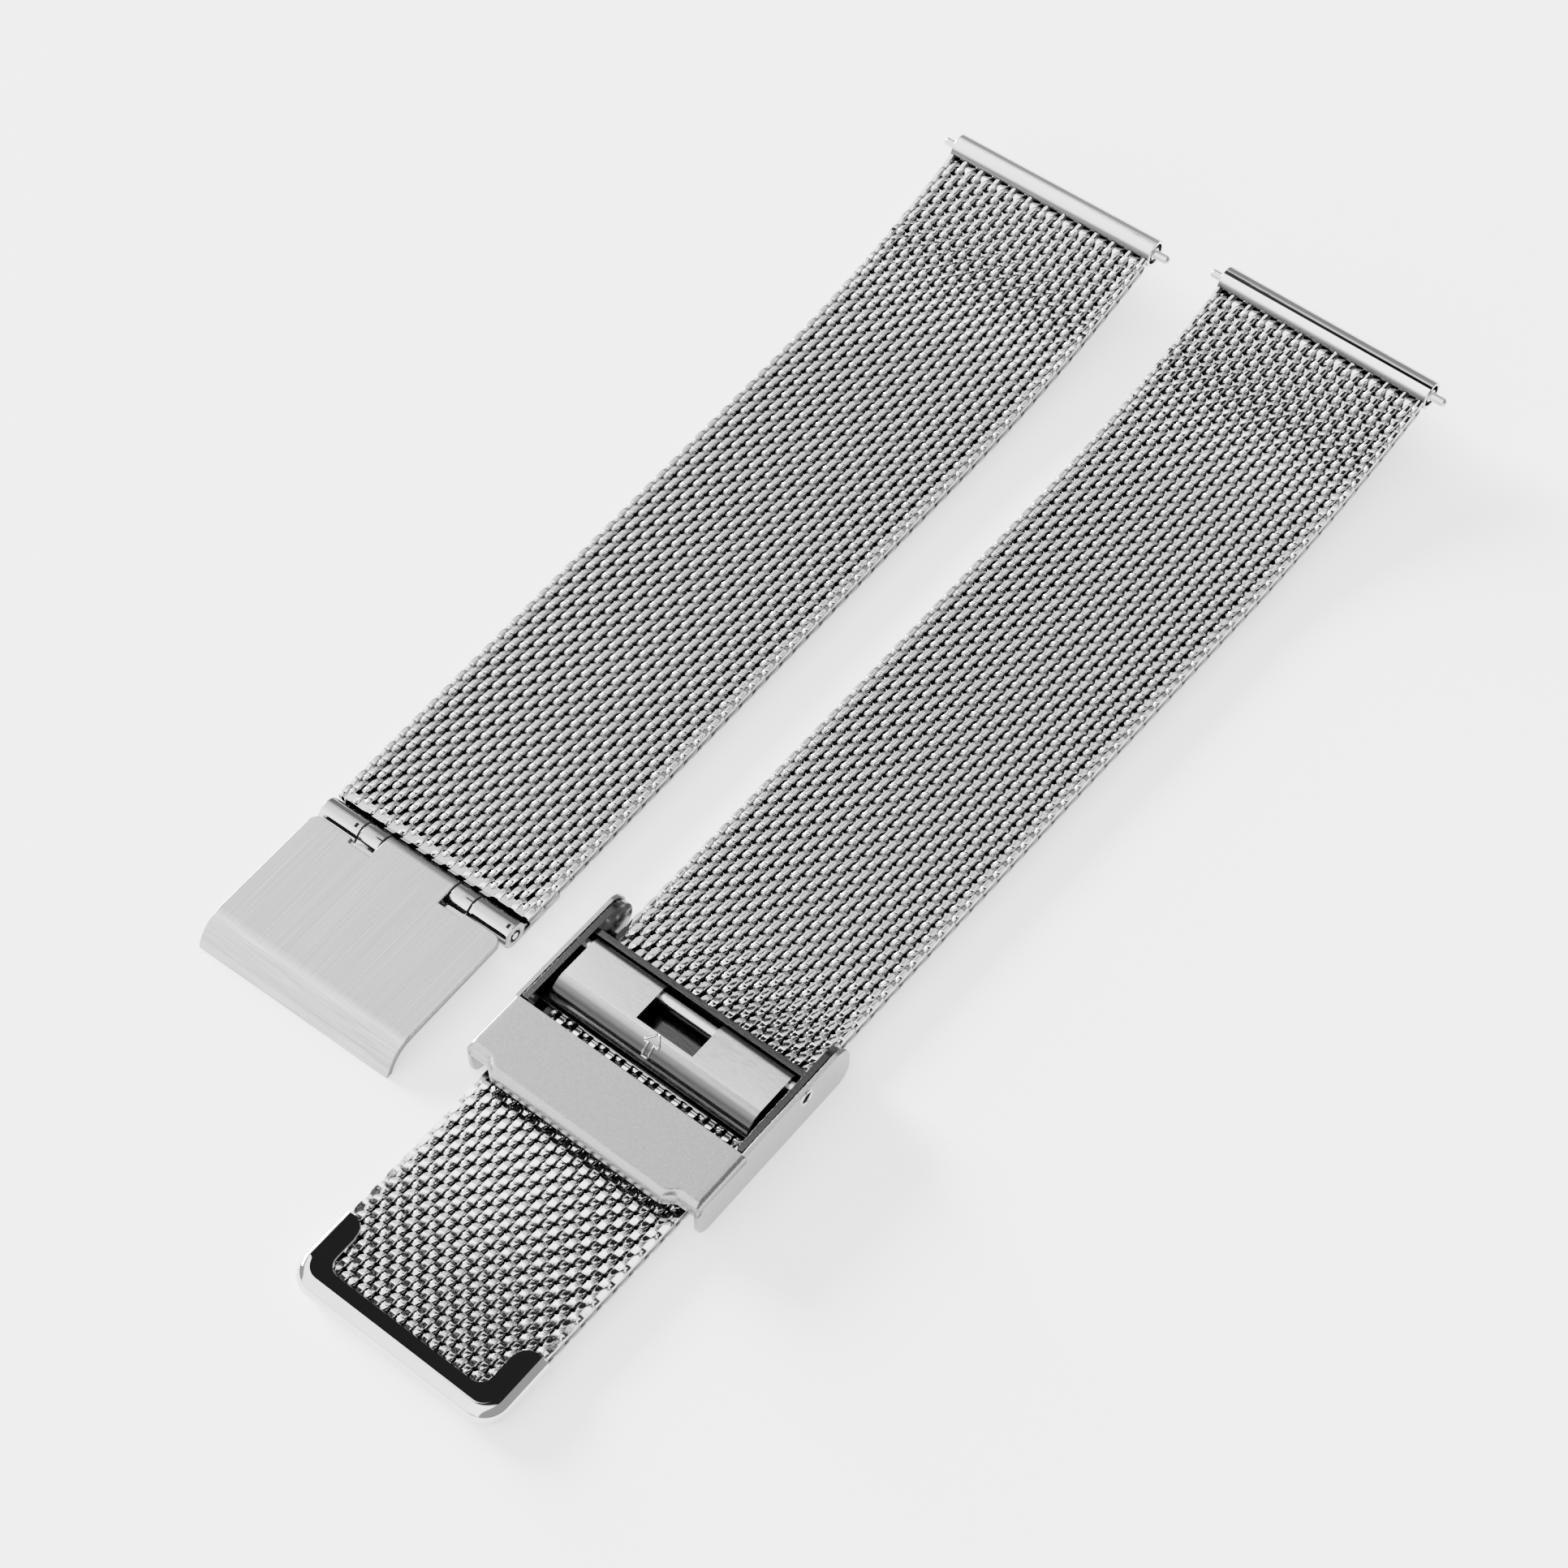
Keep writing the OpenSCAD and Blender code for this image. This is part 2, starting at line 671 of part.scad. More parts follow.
strap_a() lug_tube();  // lug_tube_a
strap_a() spring_bar();  // spring_bar_a
strap_a() bar_spring();  // bar_spring_a
strap_a() tip_left();  // tip_a_left
strap_a() tip();  // tip_a_right
strap_a() mesh_lug();  // mesh_a_0
strap_a() mesh_a(1);  // mesh_a_1
strap_a() mesh_a(2);  // mesh_a_2
strap_a() mesh_a(3);  // mesh_a_3
strap_a() mesh_a(4);  // mesh_a_4
strap_a() mesh_a(5);  // mesh_a_5
strap_a() mesh_a(6);  // mesh_a_6
strap_a() mesh_a(7);  // mesh_a_7
strap_a() end_link();
strap_a() hinge_pin();
strap_a() hook_leaf();
strap_a() cover_plate();
strap_b() lug_tube();  // lug_tube_b
strap_b() spring_bar();  // spring_bar_b
strap_b() bar_spring();  // bar_spring_b
strap_b() tip_left();  // tip_b_left
strap_b() tip();  // tip_b_right
strap_b() mesh_lug();  // mesh_b_0
strap_b() mesh_b(1);  // mesh_b_1
strap_b() mesh_b(2);  // mesh_b_2
strap_b() mesh_b(3);  // mesh_b_3
strap_b() mesh_b(4);  // mesh_b_4
strap_b() mesh_b(5);  // mesh_b_5
strap_b() mesh_b(6);  // mesh_b_6
strap_b() slider_frame();
strap_b() lock_tray();
strap_b() lock_pin();
strap_b() lock_flap();
strap_b() tail_cap();
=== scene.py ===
import json
import math

import bmesh
import bpy
import numpy as np
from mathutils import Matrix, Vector


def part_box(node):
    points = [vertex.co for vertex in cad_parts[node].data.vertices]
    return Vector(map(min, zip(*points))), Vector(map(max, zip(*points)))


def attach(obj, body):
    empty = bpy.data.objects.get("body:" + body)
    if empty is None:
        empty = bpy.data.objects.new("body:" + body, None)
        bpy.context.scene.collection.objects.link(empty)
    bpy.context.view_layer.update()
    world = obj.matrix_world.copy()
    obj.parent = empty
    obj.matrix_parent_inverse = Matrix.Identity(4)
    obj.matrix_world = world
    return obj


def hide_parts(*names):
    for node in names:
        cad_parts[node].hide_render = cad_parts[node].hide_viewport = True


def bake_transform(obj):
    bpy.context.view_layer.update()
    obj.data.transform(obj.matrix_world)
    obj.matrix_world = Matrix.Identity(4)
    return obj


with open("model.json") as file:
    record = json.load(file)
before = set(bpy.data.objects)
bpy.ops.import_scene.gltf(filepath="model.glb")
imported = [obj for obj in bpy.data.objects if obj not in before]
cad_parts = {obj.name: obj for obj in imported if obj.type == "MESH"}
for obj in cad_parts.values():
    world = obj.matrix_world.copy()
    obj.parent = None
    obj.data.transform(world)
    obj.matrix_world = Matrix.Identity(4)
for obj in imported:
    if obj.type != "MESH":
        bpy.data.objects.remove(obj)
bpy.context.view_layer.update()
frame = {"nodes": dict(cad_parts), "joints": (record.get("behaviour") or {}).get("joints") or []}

MM = 0.001
joints = {j["name"]: j for j in frame["joints"]}

# Middle of the mesh over the ground, in millimetres
MID_Z = 1.1
# Turns of each coil across the mesh
COLUMNS = 12
# Coil rows of a bending length, of the half length at the lug, and of each strap after its last seam
ROWS_PER_LINK = 12
LUG_ROWS = 6
END_ROWS = {"a": 17, "b": 68}
# An end of the mesh with this many rows or more is made as two pieces
LONG_END = 40
# Radius of the wire, and half sizes of its path along the strap and in height, in millimetres
WIRE_R = 0.275
COIL_Y = 0.72
COIL_Z = 0.385
# Height of the ground faces over the middle of the mesh
GROUND_Z = 0.585
# Power under 1 that squares the path of a coil
FLATTEN = 0.55
# Rise of the middle of a ground face over its edges
CUSHION = 0.016
# The coils change to those of the tail between these two rows, counted from the tail's end
TAIL_ROWS = (52, 42)
TAIL_COIL_Z = 0.45
TAIL_CUSHION = 0.001
# How much of a coil's step across falls on its two sides, as the first and second wave
STEP_WAVES = (1.1, -0.3)
# Points along one turn, corners round the wire, and the corner that lies on top
TURN_STEPS = 18
WIRE_SIDES = 12
TOP_CORNER = 3
# Where no face is ground, the wire's corners stand this far round it, in degrees
ROUND_TOP = 70
# Share of a turn past the first and the last column
EDGE_TURN = 0.3
# The first coils are pressed against the lug tube, and the last ones reach past the end of the mesh
WELD = 0.05
END_BULGE = {"a": 0.05, "b": 0.19}
# Lobe of fused wire at the edge of the mesh: half sizes across, along and in height
LOBE = (0.3, 0.76, 0.56)
# How far it stands out of the edge, and the power that squares it
LOBE_OUT = 0.03
LOBE_POWER = 0.7
# Its rings between its two ends, and the corners of a ring
LOBE_RINGS = 5
LOBE_AROUND = 12
# A corner that lies this little under a ground face is on it, in millimetres
TOUCH = 0.001
# Least divisor
TINY = 1e-6
# Edges that turn by more than this stay sharp in the shading, in degrees
SHARP_ANGLE = 33


def signed_power(v, power):
    return np.sign(v) * np.abs(v) ** power


def keep_sharp(mesh):
    mesh.set_sharp_from_angle(angle=math.radians(SHARP_ANGLE))


def mesh_object(name, verts, faces):
    """A smooth-shaded mesh object from an array of points and a list of faces."""
    mesh = bpy.data.meshes.new(name)
    mesh.from_pydata(verts.tolist(), [], faces)
    mesh.shade_smooth()
    keep_sharp(mesh)
    mesh.update()
    obj = bpy.data.objects.new(name, mesh)
    bpy.context.scene.collection.objects.link(obj)
    return obj


class Strap:
    """Centre line of one strap, read from the frame's joints. The last seam is number last, and the mesh ends
    end_y along the strap from the axis of the case's spring bar."""

    def __init__(self, letter, last, end_y):
        self.letter = letter
        self.seams = [Vector(joints[f"bend_{letter}_{i}"]["pos_m"]) for i in range(1, last + 1)]
        self.tube = Vector(joints[f"swing_{letter}"]["pos_m"])
        self.across = Vector(joints[f"swing_{letter}"]["axis"]).normalized()
        self.up = Vector((0, 0, 1))
        self.along = self.up.cross(self.across)
        self.last = last
        self.link = (self.seams[2] - self.seams[3]).length
        self.row = self.link / ROWS_PER_LINK
        self.lug = LUG_ROWS * self.row
        # The strap curls up from its third seam to the lug, on one radius
        self.flat = self.seams[2]
        self.flat_s = self.lug + 2 * self.link
        tilt = [math.asin((a - b).normalized().z) for a, b in zip(self.seams, self.seams[1:3])]
        self.curl_r = self.link / (tilt[0] - tilt[1])
        self.rows = LUG_ROWS + (last - 1) * ROWS_PER_LINK + END_ROWS[letter]
        self.end = self.run(last) + END_ROWS[letter] * self.row
        self.end_y = end_y

    def run(self, i):
        """Distance along the mesh from the lug end to the start of length i."""
        return 0.0 if i == 0 else self.lug + (i - 1) * self.link

    def pressed(self, s):
        """Distances from the lug end in millimetres, kept within the reach of the first and last coils."""
        return np.clip(s, WELD, self.end / MM + END_BULGE[self.letter])

    def local(self, points):
        """World points for millimetres across, along and over the ground in the strap's flat part."""
        points = np.asarray(points, float)
        s = self.end + (self.end_y - points[:, 1]) * MM
        return self.place(points[:, 0] * MM, s, (points[:, 2] - MID_Z) * MM)

    def place(self, u, s, h):
        """Points at distance u across, s from the lug end and h over the middle of the mesh."""
        phi = np.maximum(self.flat_s - s, 0) / self.curl_r
        forward = np.where(s < self.flat_s, self.curl_r * np.sin(phi), self.flat_s - s)
        rise = self.curl_r * (1 - np.cos(phi))
        a = forward - h * np.sin(phi)
        z = rise + h * np.cos(phi)
        return (np.array(self.flat) + np.multiply.outer(u, np.array(self.across))
                + np.multiply.outer(a, np.array(self.along)) + np.multiply.outer(z, np.array(self.up)))


strap_a = Strap("a", 7, -77.618)
strap_b = Strap("b", 6, -109.598)


def node_width(node):
    """Size of a CAD node across the strap, in metres."""
    low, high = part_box(node)
    return (high - low).x


# The taper is read from the lug ends of the first and the last length of strap A
TAPER_S = (strap_a.run(1), strap_a.run(7))
TAPER_W = (node_width("mesh_a_1"), node_width("mesh_a_7"))


def width_at(s):
    """Width of the mesh in metres at a distance from the lug end."""
    slope = (TAPER_W[1] - TAPER_W[0]) / (TAPER_S[1] - TAPER_S[0])
    return TAPER_W[0] + slope * (s - TAPER_S[0])


def ring_angles(height, upright):
    """Angles round the wire at each place of a coil, with corners where the ground faces cut it."""
    limit = math.sin(math.radians(ROUND_TOP))
    sine = (GROUND_Z - np.abs(height)) / np.maximum(WIRE_R * np.abs(upright), TINY)
    cut = np.arcsin(np.clip(sine, 0, limit))
    none = np.zeros_like(cut)
    outer = [none, cut / 2, cut, none + math.pi / 2, math.pi - cut, math.pi - cut / 2]
    inner = [none + math.radians(a) for a in (180, 210, 240, 270, 300, 330)]
    return np.stack(outer + inner, 1)


def coil_size(strap, row):
    """Half height of a coil's path and rise of its ground faces, which change toward the tail of strap B."""
    if strap is strap_a:
        return COIL_Z, CUSHION
    start, end = TAIL_ROWS
    near = min(max((row - strap.rows + start) / (start - end), 0), 1)
    return COIL_Z + (TAIL_COIL_Z - COIL_Z) * near, CUSHION + (TAIL_CUSHION - CUSHION) * near


def coil_path(width, phase, coil_z, steps):
    """Middle line of one coil's wire, as millimetres across, along and over the middle."""
    t = np.linspace(-EDGE_TURN, COLUMNS + EDGE_TURN, steps + 1) * 2 * math.pi + phase
    step = (t - phase) / (2 * math.pi)
    for wave, share in enumerate(STEP_WAVES, 1):
        step = step - share * np.sin(2 * wave * t) / (4 * wave * math.pi)
    x = width / COLUMNS * step - width / 2
    x = np.clip(x, WIRE_R - width / 2, width / 2 - WIRE_R)
    return np.stack([x, COIL_Y * np.sin(t), coil_z * signed_power(np.cos(t), FLATTEN)], 1)


def coil_tube(path, cushion):
    """Points round the wire along its path, cut by the ground faces above and below."""
    ahead = np.gradient(path, axis=0)
    ahead /= np.linalg.norm(ahead, axis=1)[:, None]
    side = np.array([1.0, 0, 0]) - ahead * ahead[:, :1]
    side /= np.linalg.norm(side, axis=1)[:, None]
    out = np.cross(side, ahead)
    ring = ring_angles(path[:, 2], out[:, 2])
    tube = (path[:, None, :] + WIRE_R * (np.cos(ring)[:, :, None] * side[:, None, :]
                                         + np.sin(ring)[:, :, None] * out[:, None, :]))
    tube[:, :, 2] = np.clip(tube[:, :, 2], -GROUND_Z, GROUND_Z)
    ground = np.abs(tube[:, TOP_CORNER, 2]) > GROUND_Z - TOUCH
    tube[ground, TOP_CORNER, 2] += cushion * np.sign(tube[ground, TOP_CORNER, 2])
    return tube


def coil_rows(strap, rows):
    """Coils of one piece of mesh, as points, faces and heights. A row is its number from the lug."""
    steps = int((COLUMNS + 2 * EDGE_TURN) * TURN_STEPS)
    verts, faces, heights = [], [], []
    i = np.arange(steps)[:, None] * WIRE_SIDES
    j = np.arange(WIRE_SIDES)[None, :]
    k = (j + 1) % WIRE_SIDES
    quads = np.stack([i + j, i + k, i + WIRE_SIDES + k, i + WIRE_SIDES + j], -1).reshape(-1, 4)
    for row in rows:
        centre = (row + 0.5) * strap.row / MM
        width = width_at(centre * MM) / MM
        coil_z, cushion = coil_size(strap, row)
        tube = coil_tube(coil_path(width, math.pi * (row % 2), coil_z, steps), cushion)
        s = strap.pressed(centre - tube[:, :, 1])
        base = len(verts) * (steps + 1) * WIRE_SIDES
        heights.append(tube[:, :, 2].ravel())
        verts.append(strap.place(tube[:, :, 0].ravel() * MM, s.ravel() * MM, heights[-1] * MM))
        faces.extend((quads + base).tolist())
        faces.append((base + np.arange(WIRE_SIDES)[::-1]).tolist())
        faces.append((base + steps * WIRE_SIDES + np.arange(WIRE_SIDES)).tolist())
    return verts, faces, heights


def lobe_shape():
    """Points of one lobe round its middle and its faces. Its low end comes first and its high end last."""
    lat = np.linspace(-0.5, 0.5, LOBE_RINGS + 2)[1:-1] * math.pi
    lon = np.arange(LOBE_AROUND) / LOBE_AROUND * 2 * math.pi
    level = np.abs(np.cos(lat)) ** LOBE_POWER
    x = LOBE[0] * np.multiply.outer(level, signed_power(np.cos(lon), LOBE_POWER))
    y = LOBE[1] * np.multiply.outer(level, signed_power(np.sin(lon), LOBE_POWER))
    z = np.repeat(LOBE[2] * signed_power(np.sin(lat), LOBE_POWER)[:, None], LOBE_AROUND, 1)
    points = [(0, 0, -LOBE[2]), *zip(x.ravel(), y.ravel(), z.ravel()), (0, 0, LOBE[2])]
    faces = []
    last = 1 + (LOBE_RINGS - 1) * LOBE_AROUND
    for j in range(LOBE_AROUND):
        k = (j + 1) % LOBE_AROUND
        faces.append([0, 1 + k, 1 + j])
        for a in range(1, last, LOBE_AROUND):
            faces.append([a + j, a + k, a + LOBE_AROUND + k, a + LOBE_AROUND + j])
        faces.append([last + j, last + k, len(points) - 1])
    return np.array(points), faces


def edge_lobes(strap, rows, base):
    """Fused ends of neighbouring coils, at one edge of the mesh and the other in turn, numbered from base."""
    shape, lobe_faces = lobe_shape()
    verts, faces, heights = [], [], []
    for row in rows:
        centre = (row + 1) * strap.row / MM
        middle = (width_at(centre * MM) / MM / 2 - LOBE[0] + LOBE_OUT) * (1 if row % 2 else -1)
        s = strap.pressed(centre - shape[:, 1])
        start = base + len(verts) * len(shape)
        verts.append(strap.place((middle + shape[:, 0]) * MM, s * MM, shape[:, 2] * MM))
        heights.append(shape[:, 2])
        faces += [[start + i for i in face] for face in lobe_faces]
    return verts, faces, heights


def give_heights(obj, heights):
    """Stores each point's distance from the middle of the weave, which the mesh's look reads to paint shade
    deep in the weave.
    """
    depth = obj.data.attributes.new("height", "FLOAT", "POINT")
    depth.data.foreach_set("value", np.abs(heights))


def mesh_piece(name, strap, first, count, nodes):
    """One object with the coils of rows first to first + count - 1."""
    rows = range(first, first + count)
    verts, faces, heights = coil_rows(strap, rows)
    lobe_rows = rows[:-1] if first + count == strap.rows else rows
    lobes = edge_lobes(strap, lobe_rows, sum(len(v) for v in verts))
    obj = mesh_object(name, np.concatenate(verts + lobes[0]), faces + lobes[1])
    give_heights(obj, np.concatenate(heights + lobes[2]))
    obj.data.materials.append(materials["mesh_wire"])
    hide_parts(*nodes)
    return obj


def weave(strap):
    """Pieces of mesh centred on the seams, each reaching across one joint, and rigid last pieces."""
    half = ROWS_PER_LINK // 2
    names = [f"strap_{strap.letter}_lug"]
    names += [f"strap_{strap.letter}_{i}" for i in range(1, strap.last)]
    names += ["strap_a_end" if strap is strap_a else "strap_b_tail"]
    for i in range(1, strap.last + 1):
        seam_row = LUG_ROWS + (i - 1) * ROWS_PER_LINK
        nodes = [f"mesh_{strap.letter}_{i}"]
        if i == 1:
            nodes.append(f"mesh_{strap.letter}_0")
        piece = mesh_piece(f"weave_{strap.letter}_{i}", strap, seam_row - half, 2 * half, nodes)
        reach = strap.link / 2
        seam = strap.run(i)
        start, end = strap.place(np.zeros(2), np.array([seam - reach, seam + reach]), np.zeros(2))
        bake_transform(piece)
    first = LUG_ROWS + (strap.last - 1) * ROWS_PER_LINK + half
    rest = strap.rows - first
    parts = 1 if rest < LONG_END else 2
    for part in range(parts):
        a = first + rest * part // parts
        b = first + rest * (part + 1) // parts
        piece = mesh_piece(f"weave_{strap.letter}_end_{part}", strap, a, b - a,
                           [f"mesh_{strap.letter}_{strap.last}"])
        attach(piece, names[-1])


# Values between which nearly all of the noise lies
NOISE_RANGE = (0.3, 0.7)
# Octaves of fine detail in the grain, and in the soft clouds of the colour
GRAIN_DETAIL = 3.0
CLOUD_DETAIL = 2.0
# Count of the clouds per millimetre, and the colour's share in the darkest of them
CLOUD = 0.35
CLOUD_DARK = 0.94
# Share of the colour that is left deep inside the weave, where the painted shade is darkest
DEEP_SHADE_SHARE = 0.1
# Depth of the grain, in millimetres
GRAIN_DEPTH = 0.01
# A turned grain sets in where the normal's height falls from the first to the second of these
TURN_LEAN = ((0.95, 1), (0.985, 0))


def node_tree(name):
    """New material with its nodes, its links and its shader."""
    material = bpy.data.materials.new(name)
    material.use_nodes = True
    nodes = material.node_tree.nodes
    return material, nodes, material.node_tree.links, nodes["Principled BSDF"]


def stretched_noise(nodes, links, scale, detail=GRAIN_DETAIL):
    """Noise in the frame's own coordinates, with its scale given per millimetre on each axis."""
    place = nodes.new("ShaderNodeTexCoord")
    mapping = nodes.new("ShaderNodeMapping")
    mapping.inputs["Scale"].default_value = [v / MM for v in scale]
    noise = nodes.new("ShaderNodeTexNoise")
    noise.inputs["Scale"].default_value = 1.0
    noise.inputs["Detail"].default_value = detail
    links.new(place.outputs["Object"], mapping.inputs["Vector"])
    links.new(mapping.outputs["Vector"], noise.inputs["Vector"])
    return noise.outputs["Fac"]


def map_range(nodes, links, source, start, end, kind="LINEAR"):
    """Value that goes from 0 to 1 while the source goes from start to end."""
    ramp = nodes.new("ShaderNodeMapRange")
    ramp.interpolation_type = kind
    ramp.inputs["From Min"].default_value = start
    ramp.inputs["From Max"].default_value = end
    links.new(source, ramp.inputs["Value"])
    return ramp


def value_range(nodes, links, noise, low, high):
    """Noise stretched to go from low to high."""
    ramp = map_range(nodes, links, noise, *NOISE_RANGE)
    ramp.inputs["To Min"].default_value = low
    ramp.inputs["To Max"].default_value = high
    return ramp.outputs["Result"]


def lean_of(nodes, links, stops, back=False):
    """Value by how far the piece's own normal leans, as stops of (lean, value up to 2). The lean is the
    normal's height, from 0 to 1, or if back its share toward the lug end, from -1 to 1."""
    place = nodes.new("ShaderNodeTexCoord")
    curve = nodes.new("ShaderNodeValToRGB")
    double = nodes.new("ShaderNodeMath")
    double.operation = "MULTIPLY"
    double.inputs[1].default_value = 2
    level = nodes.new("ShaderNodeMath")
    if back:
        share = nodes.new("ShaderNodeVectorMath")
        share.operation = "DOT_PRODUCT"
        share.inputs[1].default_value = strap_a.along
        level.operation = "MULTIPLY_ADD"
        level.inputs[1].default_value = 0.5
        level.inputs[2].default_value = 0.5
        links.new(place.outputs["Normal"], share.inputs[0])
        links.new(share.outputs["Value"], level.inputs[0])
        stops = [((lean + 1) / 2, value) for lean, value in stops]
    else:
        parts = nodes.new("ShaderNodeSeparateXYZ")
        level.operation = "ABSOLUTE"
        links.new(place.outputs["Normal"], parts.inputs["Vector"])
        links.new(parts.outputs["Z"], level.inputs[0])
    links.new(level.outputs["Value"], curve.inputs["Fac"])
    links.new(curve.outputs["Color"], double.inputs[0])
    elements = curve.color_ramp.elements
    while len(elements) < len(stops):
        elements.new(0.5)
    for element, (position, value) in zip(elements, stops):
        element.position = position
        element.color = (value / 2, value / 2, value / 2, 1)
    return double.outputs["Value"]


def metal(name, colour, rough, grain, bump, recess=None, streak=0.0, turned=None, lean=None, back=None):
    """Steel with a grain.

    Grain is its count per millimetre on each axis, and rough its lowest and highest roughness. A recess
    paints shade: it darkens what lies deeper in the weave, between two heights over the middle. A streak
    makes the grain show in the colour by that share. A turned grain takes the place of the first one where
    the sheet curves down.
    Lean and back paint light and shade: they scale the colour by the normal's height and by its share toward
    the lug end, as stops.
    """
    material, nodes, links, shader = node_tree(name)
    shader.inputs["Metallic"].default_value = 1.0
    pattern = stretched_noise(nodes, links, grain)
    if turned:
        both = nodes.new("ShaderNodeMix")
        links.new(lean_of(nodes, links, TURN_LEAN), both.inputs["Factor"])
        links.new(pattern, both.inputs["A"])
        links.new(stretched_noise(nodes, links, turned), both.inputs["B"])
        pattern = both.outputs["Result"]
    links.new(value_range(nodes, links, pattern, *rough), shader.inputs["Roughness"])
    tint = nodes.new("ShaderNodeMixRGB")
    tint.inputs["Color1"].default_value = (*[c * (CLOUD_DARK - streak) for c in colour], 1)
    tint.inputs["Color2"].default_value = (*[c * (1 + streak) for c in colour], 1)
    shade = pattern if streak else stretched_noise(nodes, links, [CLOUD] * 3, CLOUD_DETAIL)
    links.new(value_range(nodes, links, shade, 0, 1), tint.inputs["Fac"])
    shown = tint.outputs["Color"]
    # Painted shade: the colour darkens toward the middle of the weave
    if recess:
        height = nodes.new("ShaderNodeAttribute")
        height.attribute_name = "height"
        lit = map_range(nodes, links, height.outputs["Fac"], *recess, "SMOOTHSTEP")
        deep = nodes.new("ShaderNodeMixRGB")
        deep.inputs["Color1"].default_value = (*[c * DEEP_SHADE_SHARE for c in colour], 1)
        links.new(lit.outputs["Result"], deep.inputs["Fac"])
        links.new(shown, deep.inputs["Color2"])
        shown = deep.outputs["Color"]
    # Painted light and shade: the colour is scaled by how the normal leans
    for stops, is_back in ((lean, False), (back, True)):
        if stops:
            scaled = nodes.new("ShaderNodeVectorMath")
            scaled.operation = "SCALE"
            links.new(shown, scaled.inputs[0])
            links.new(lean_of(nodes, links, stops, is_back), scaled.inputs["Scale"])
            shown = scaled.outputs["Vector"]
    links.new(shown, shader.inputs["Base Color"])
    relief = nodes.new("ShaderNodeBump")
    relief.inputs["Strength"].default_value = bump
    relief.inputs["Distance"].default_value = GRAIN_DEPTH * MM
    links.new(pattern, relief.inputs["Height"])
    links.new(relief.outputs["Normal"], shader.inputs["Normal"])
    return material


def matt_black(name):
    """Painted shade: black that stands for a gap that little light reaches."""
    material = metal(name, *BLACK)
    shader = material.node_tree.nodes["Principled BSDF"]
    shader.inputs["Metallic"].default_value = 0.0
    shader.inputs["Specular IOR Level"].default_value = 0.0
    return material


# Colour, roughness, grain and bump of the black of painted shade, and of the lug tubes
BLACK = ((0.01, 0.01, 0.01), (0.6, 0.9), (4, 4, 4), 0.1)
TUBE = ((0.9, 0.9, 0.905), (0.05, 0.12), (1.5, 12, 12), 0.1)
STEEL = (0.52, 0.52, 0.525)
# Painted light and shade: the front of the hinge's knuckles is made lighter, as if it catches the light, and
# their back darker, as if it lies in shade
KNUCKLE_PAINTED_LIGHT = ((-0.6, 1.3), (-0.3, 0.7), (0.45, 0.6), (0.7, 0.08))
# Each metal's colour, roughness, grain and bump, then what metal() takes by name
METALS = {
    # Painted shade: the recess darkens the wire deep in the weave
    "mesh_wire": (((0.61, 0.61, 0.615), (0.03, 0.07), (6, 6, 6), 0.05),
                  {"recess": (0.2, 0.52)}),
    # Painted shade: back darkens the tube where its normal leans far toward or away from the lug end
    "polished_tube": (TUBE, {
        "back": ((-0.93, 0.1), (-0.84, 0.12), (-0.74, 0.75), (-0.1, 1), (0.5, 0.6), (0.85, 0.25))}),
    # Painted reflection and shade: back paints a dark line along the tube and darkens its borders
    "tube_painted_reflection": (TUBE, {
        "back": ((-0.93, 0.1), (-0.84, 0.12), (-0.72, 0.9), (-0.37, 1), (-0.34, 0.02), (-0.14, 0.02),
                 (-0.1, 0.6), (0.5, 0.5), (0.85, 0.4))}),
    "bar_steel": (((0.6, 0.6, 0.6), (0.15, 0.3), (2, 14, 14), 0.2), {}),
    "spring_wire": (((0.5, 0.5, 0.5), (0.2, 0.35), (8, 8, 8), 0.2), {}),
    # Painted shade and light: lean darkens the steep sides, and back lights the knuckles' front and shades
    # their back
    "polished_steel": ((STEEL, (0.06, 0.14), (1.5, 10, 10), 0.1), {
        "lean": ((0.02, 0.8), (0.08, 0.08), (0.3, 0.08), (0.55, 1)),
        "back": KNUCKLE_PAINTED_LIGHT}),
    "pin_steel": ((STEEL, (0.1, 0.2), (1.5, 12, 12), 0.2), {}),
    # Painted shade and light: lean darkens the steep sides, and back lights the knuckles' front and shades
    # their back
    "hook_steel": (((0.5, 0.5, 0.505), (0.1, 0.2), (12, 1.5, 12), 0.2), {
        "lean": ((0.3, 0.08), (0.55, 1)),
        "back": KNUCKLE_PAINTED_LIGHT}),
    # Painted highlight and shade: lean lightens where the plate starts to curve down and darkens its steep
    # faces, and back darkens faces toward the lug end
    "brushed_plate": (((0.36, 0.36, 0.365), (0.2, 0.3), (9, 0.08, 1), 0.4), {
        "streak": 0.18,
        "turned": (0.25, 9, 9),
        "lean": ((0.12, 0.25), (0.3, 1), (0.9, 1.05), (0.96, 1.3), (0.99, 1)),
        "back": ((0.35, 1), (0.65, 0.08))}),
    "satin_frame": (((0.29, 0.29, 0.295), (0.22, 0.32), (6, 6, 6), 0.3),
                    {"streak": 0.1}),
    # Painted shade: lean darkens the faces that look straight up
    "tray_steel": (((0.14, 0.14, 0.142), (0.1, 0.22), (2, 8, 8), 0.3),
                   {"lean": ((0.9, 1), (0.98, 0.3))}),
    # Painted shade: lean darkens all but the flap's flat top, most of all on the bend of its front
    "satin_flap": (((0.46, 0.46, 0.465), (0.12, 0.2), (1.5, 6, 6), 0.1), {
        "streak": 0.025,
        "lean": ((0.3, 0.3), (0.6, 0.12), (0.8, 0.07), (0.93, 0.2), (0.985, 0.6), (0.999, 1))}),
    "polished_cap": (((0.66, 0.66, 0.665), (0.004, 0.012), (1, 1, 1), 0.0), {}),
}
materials = {name: metal(name, *values, **more) for name, (values, more) in METALS.items()}
materials["painted_shade_black"] = matt_black("painted_shade_black")


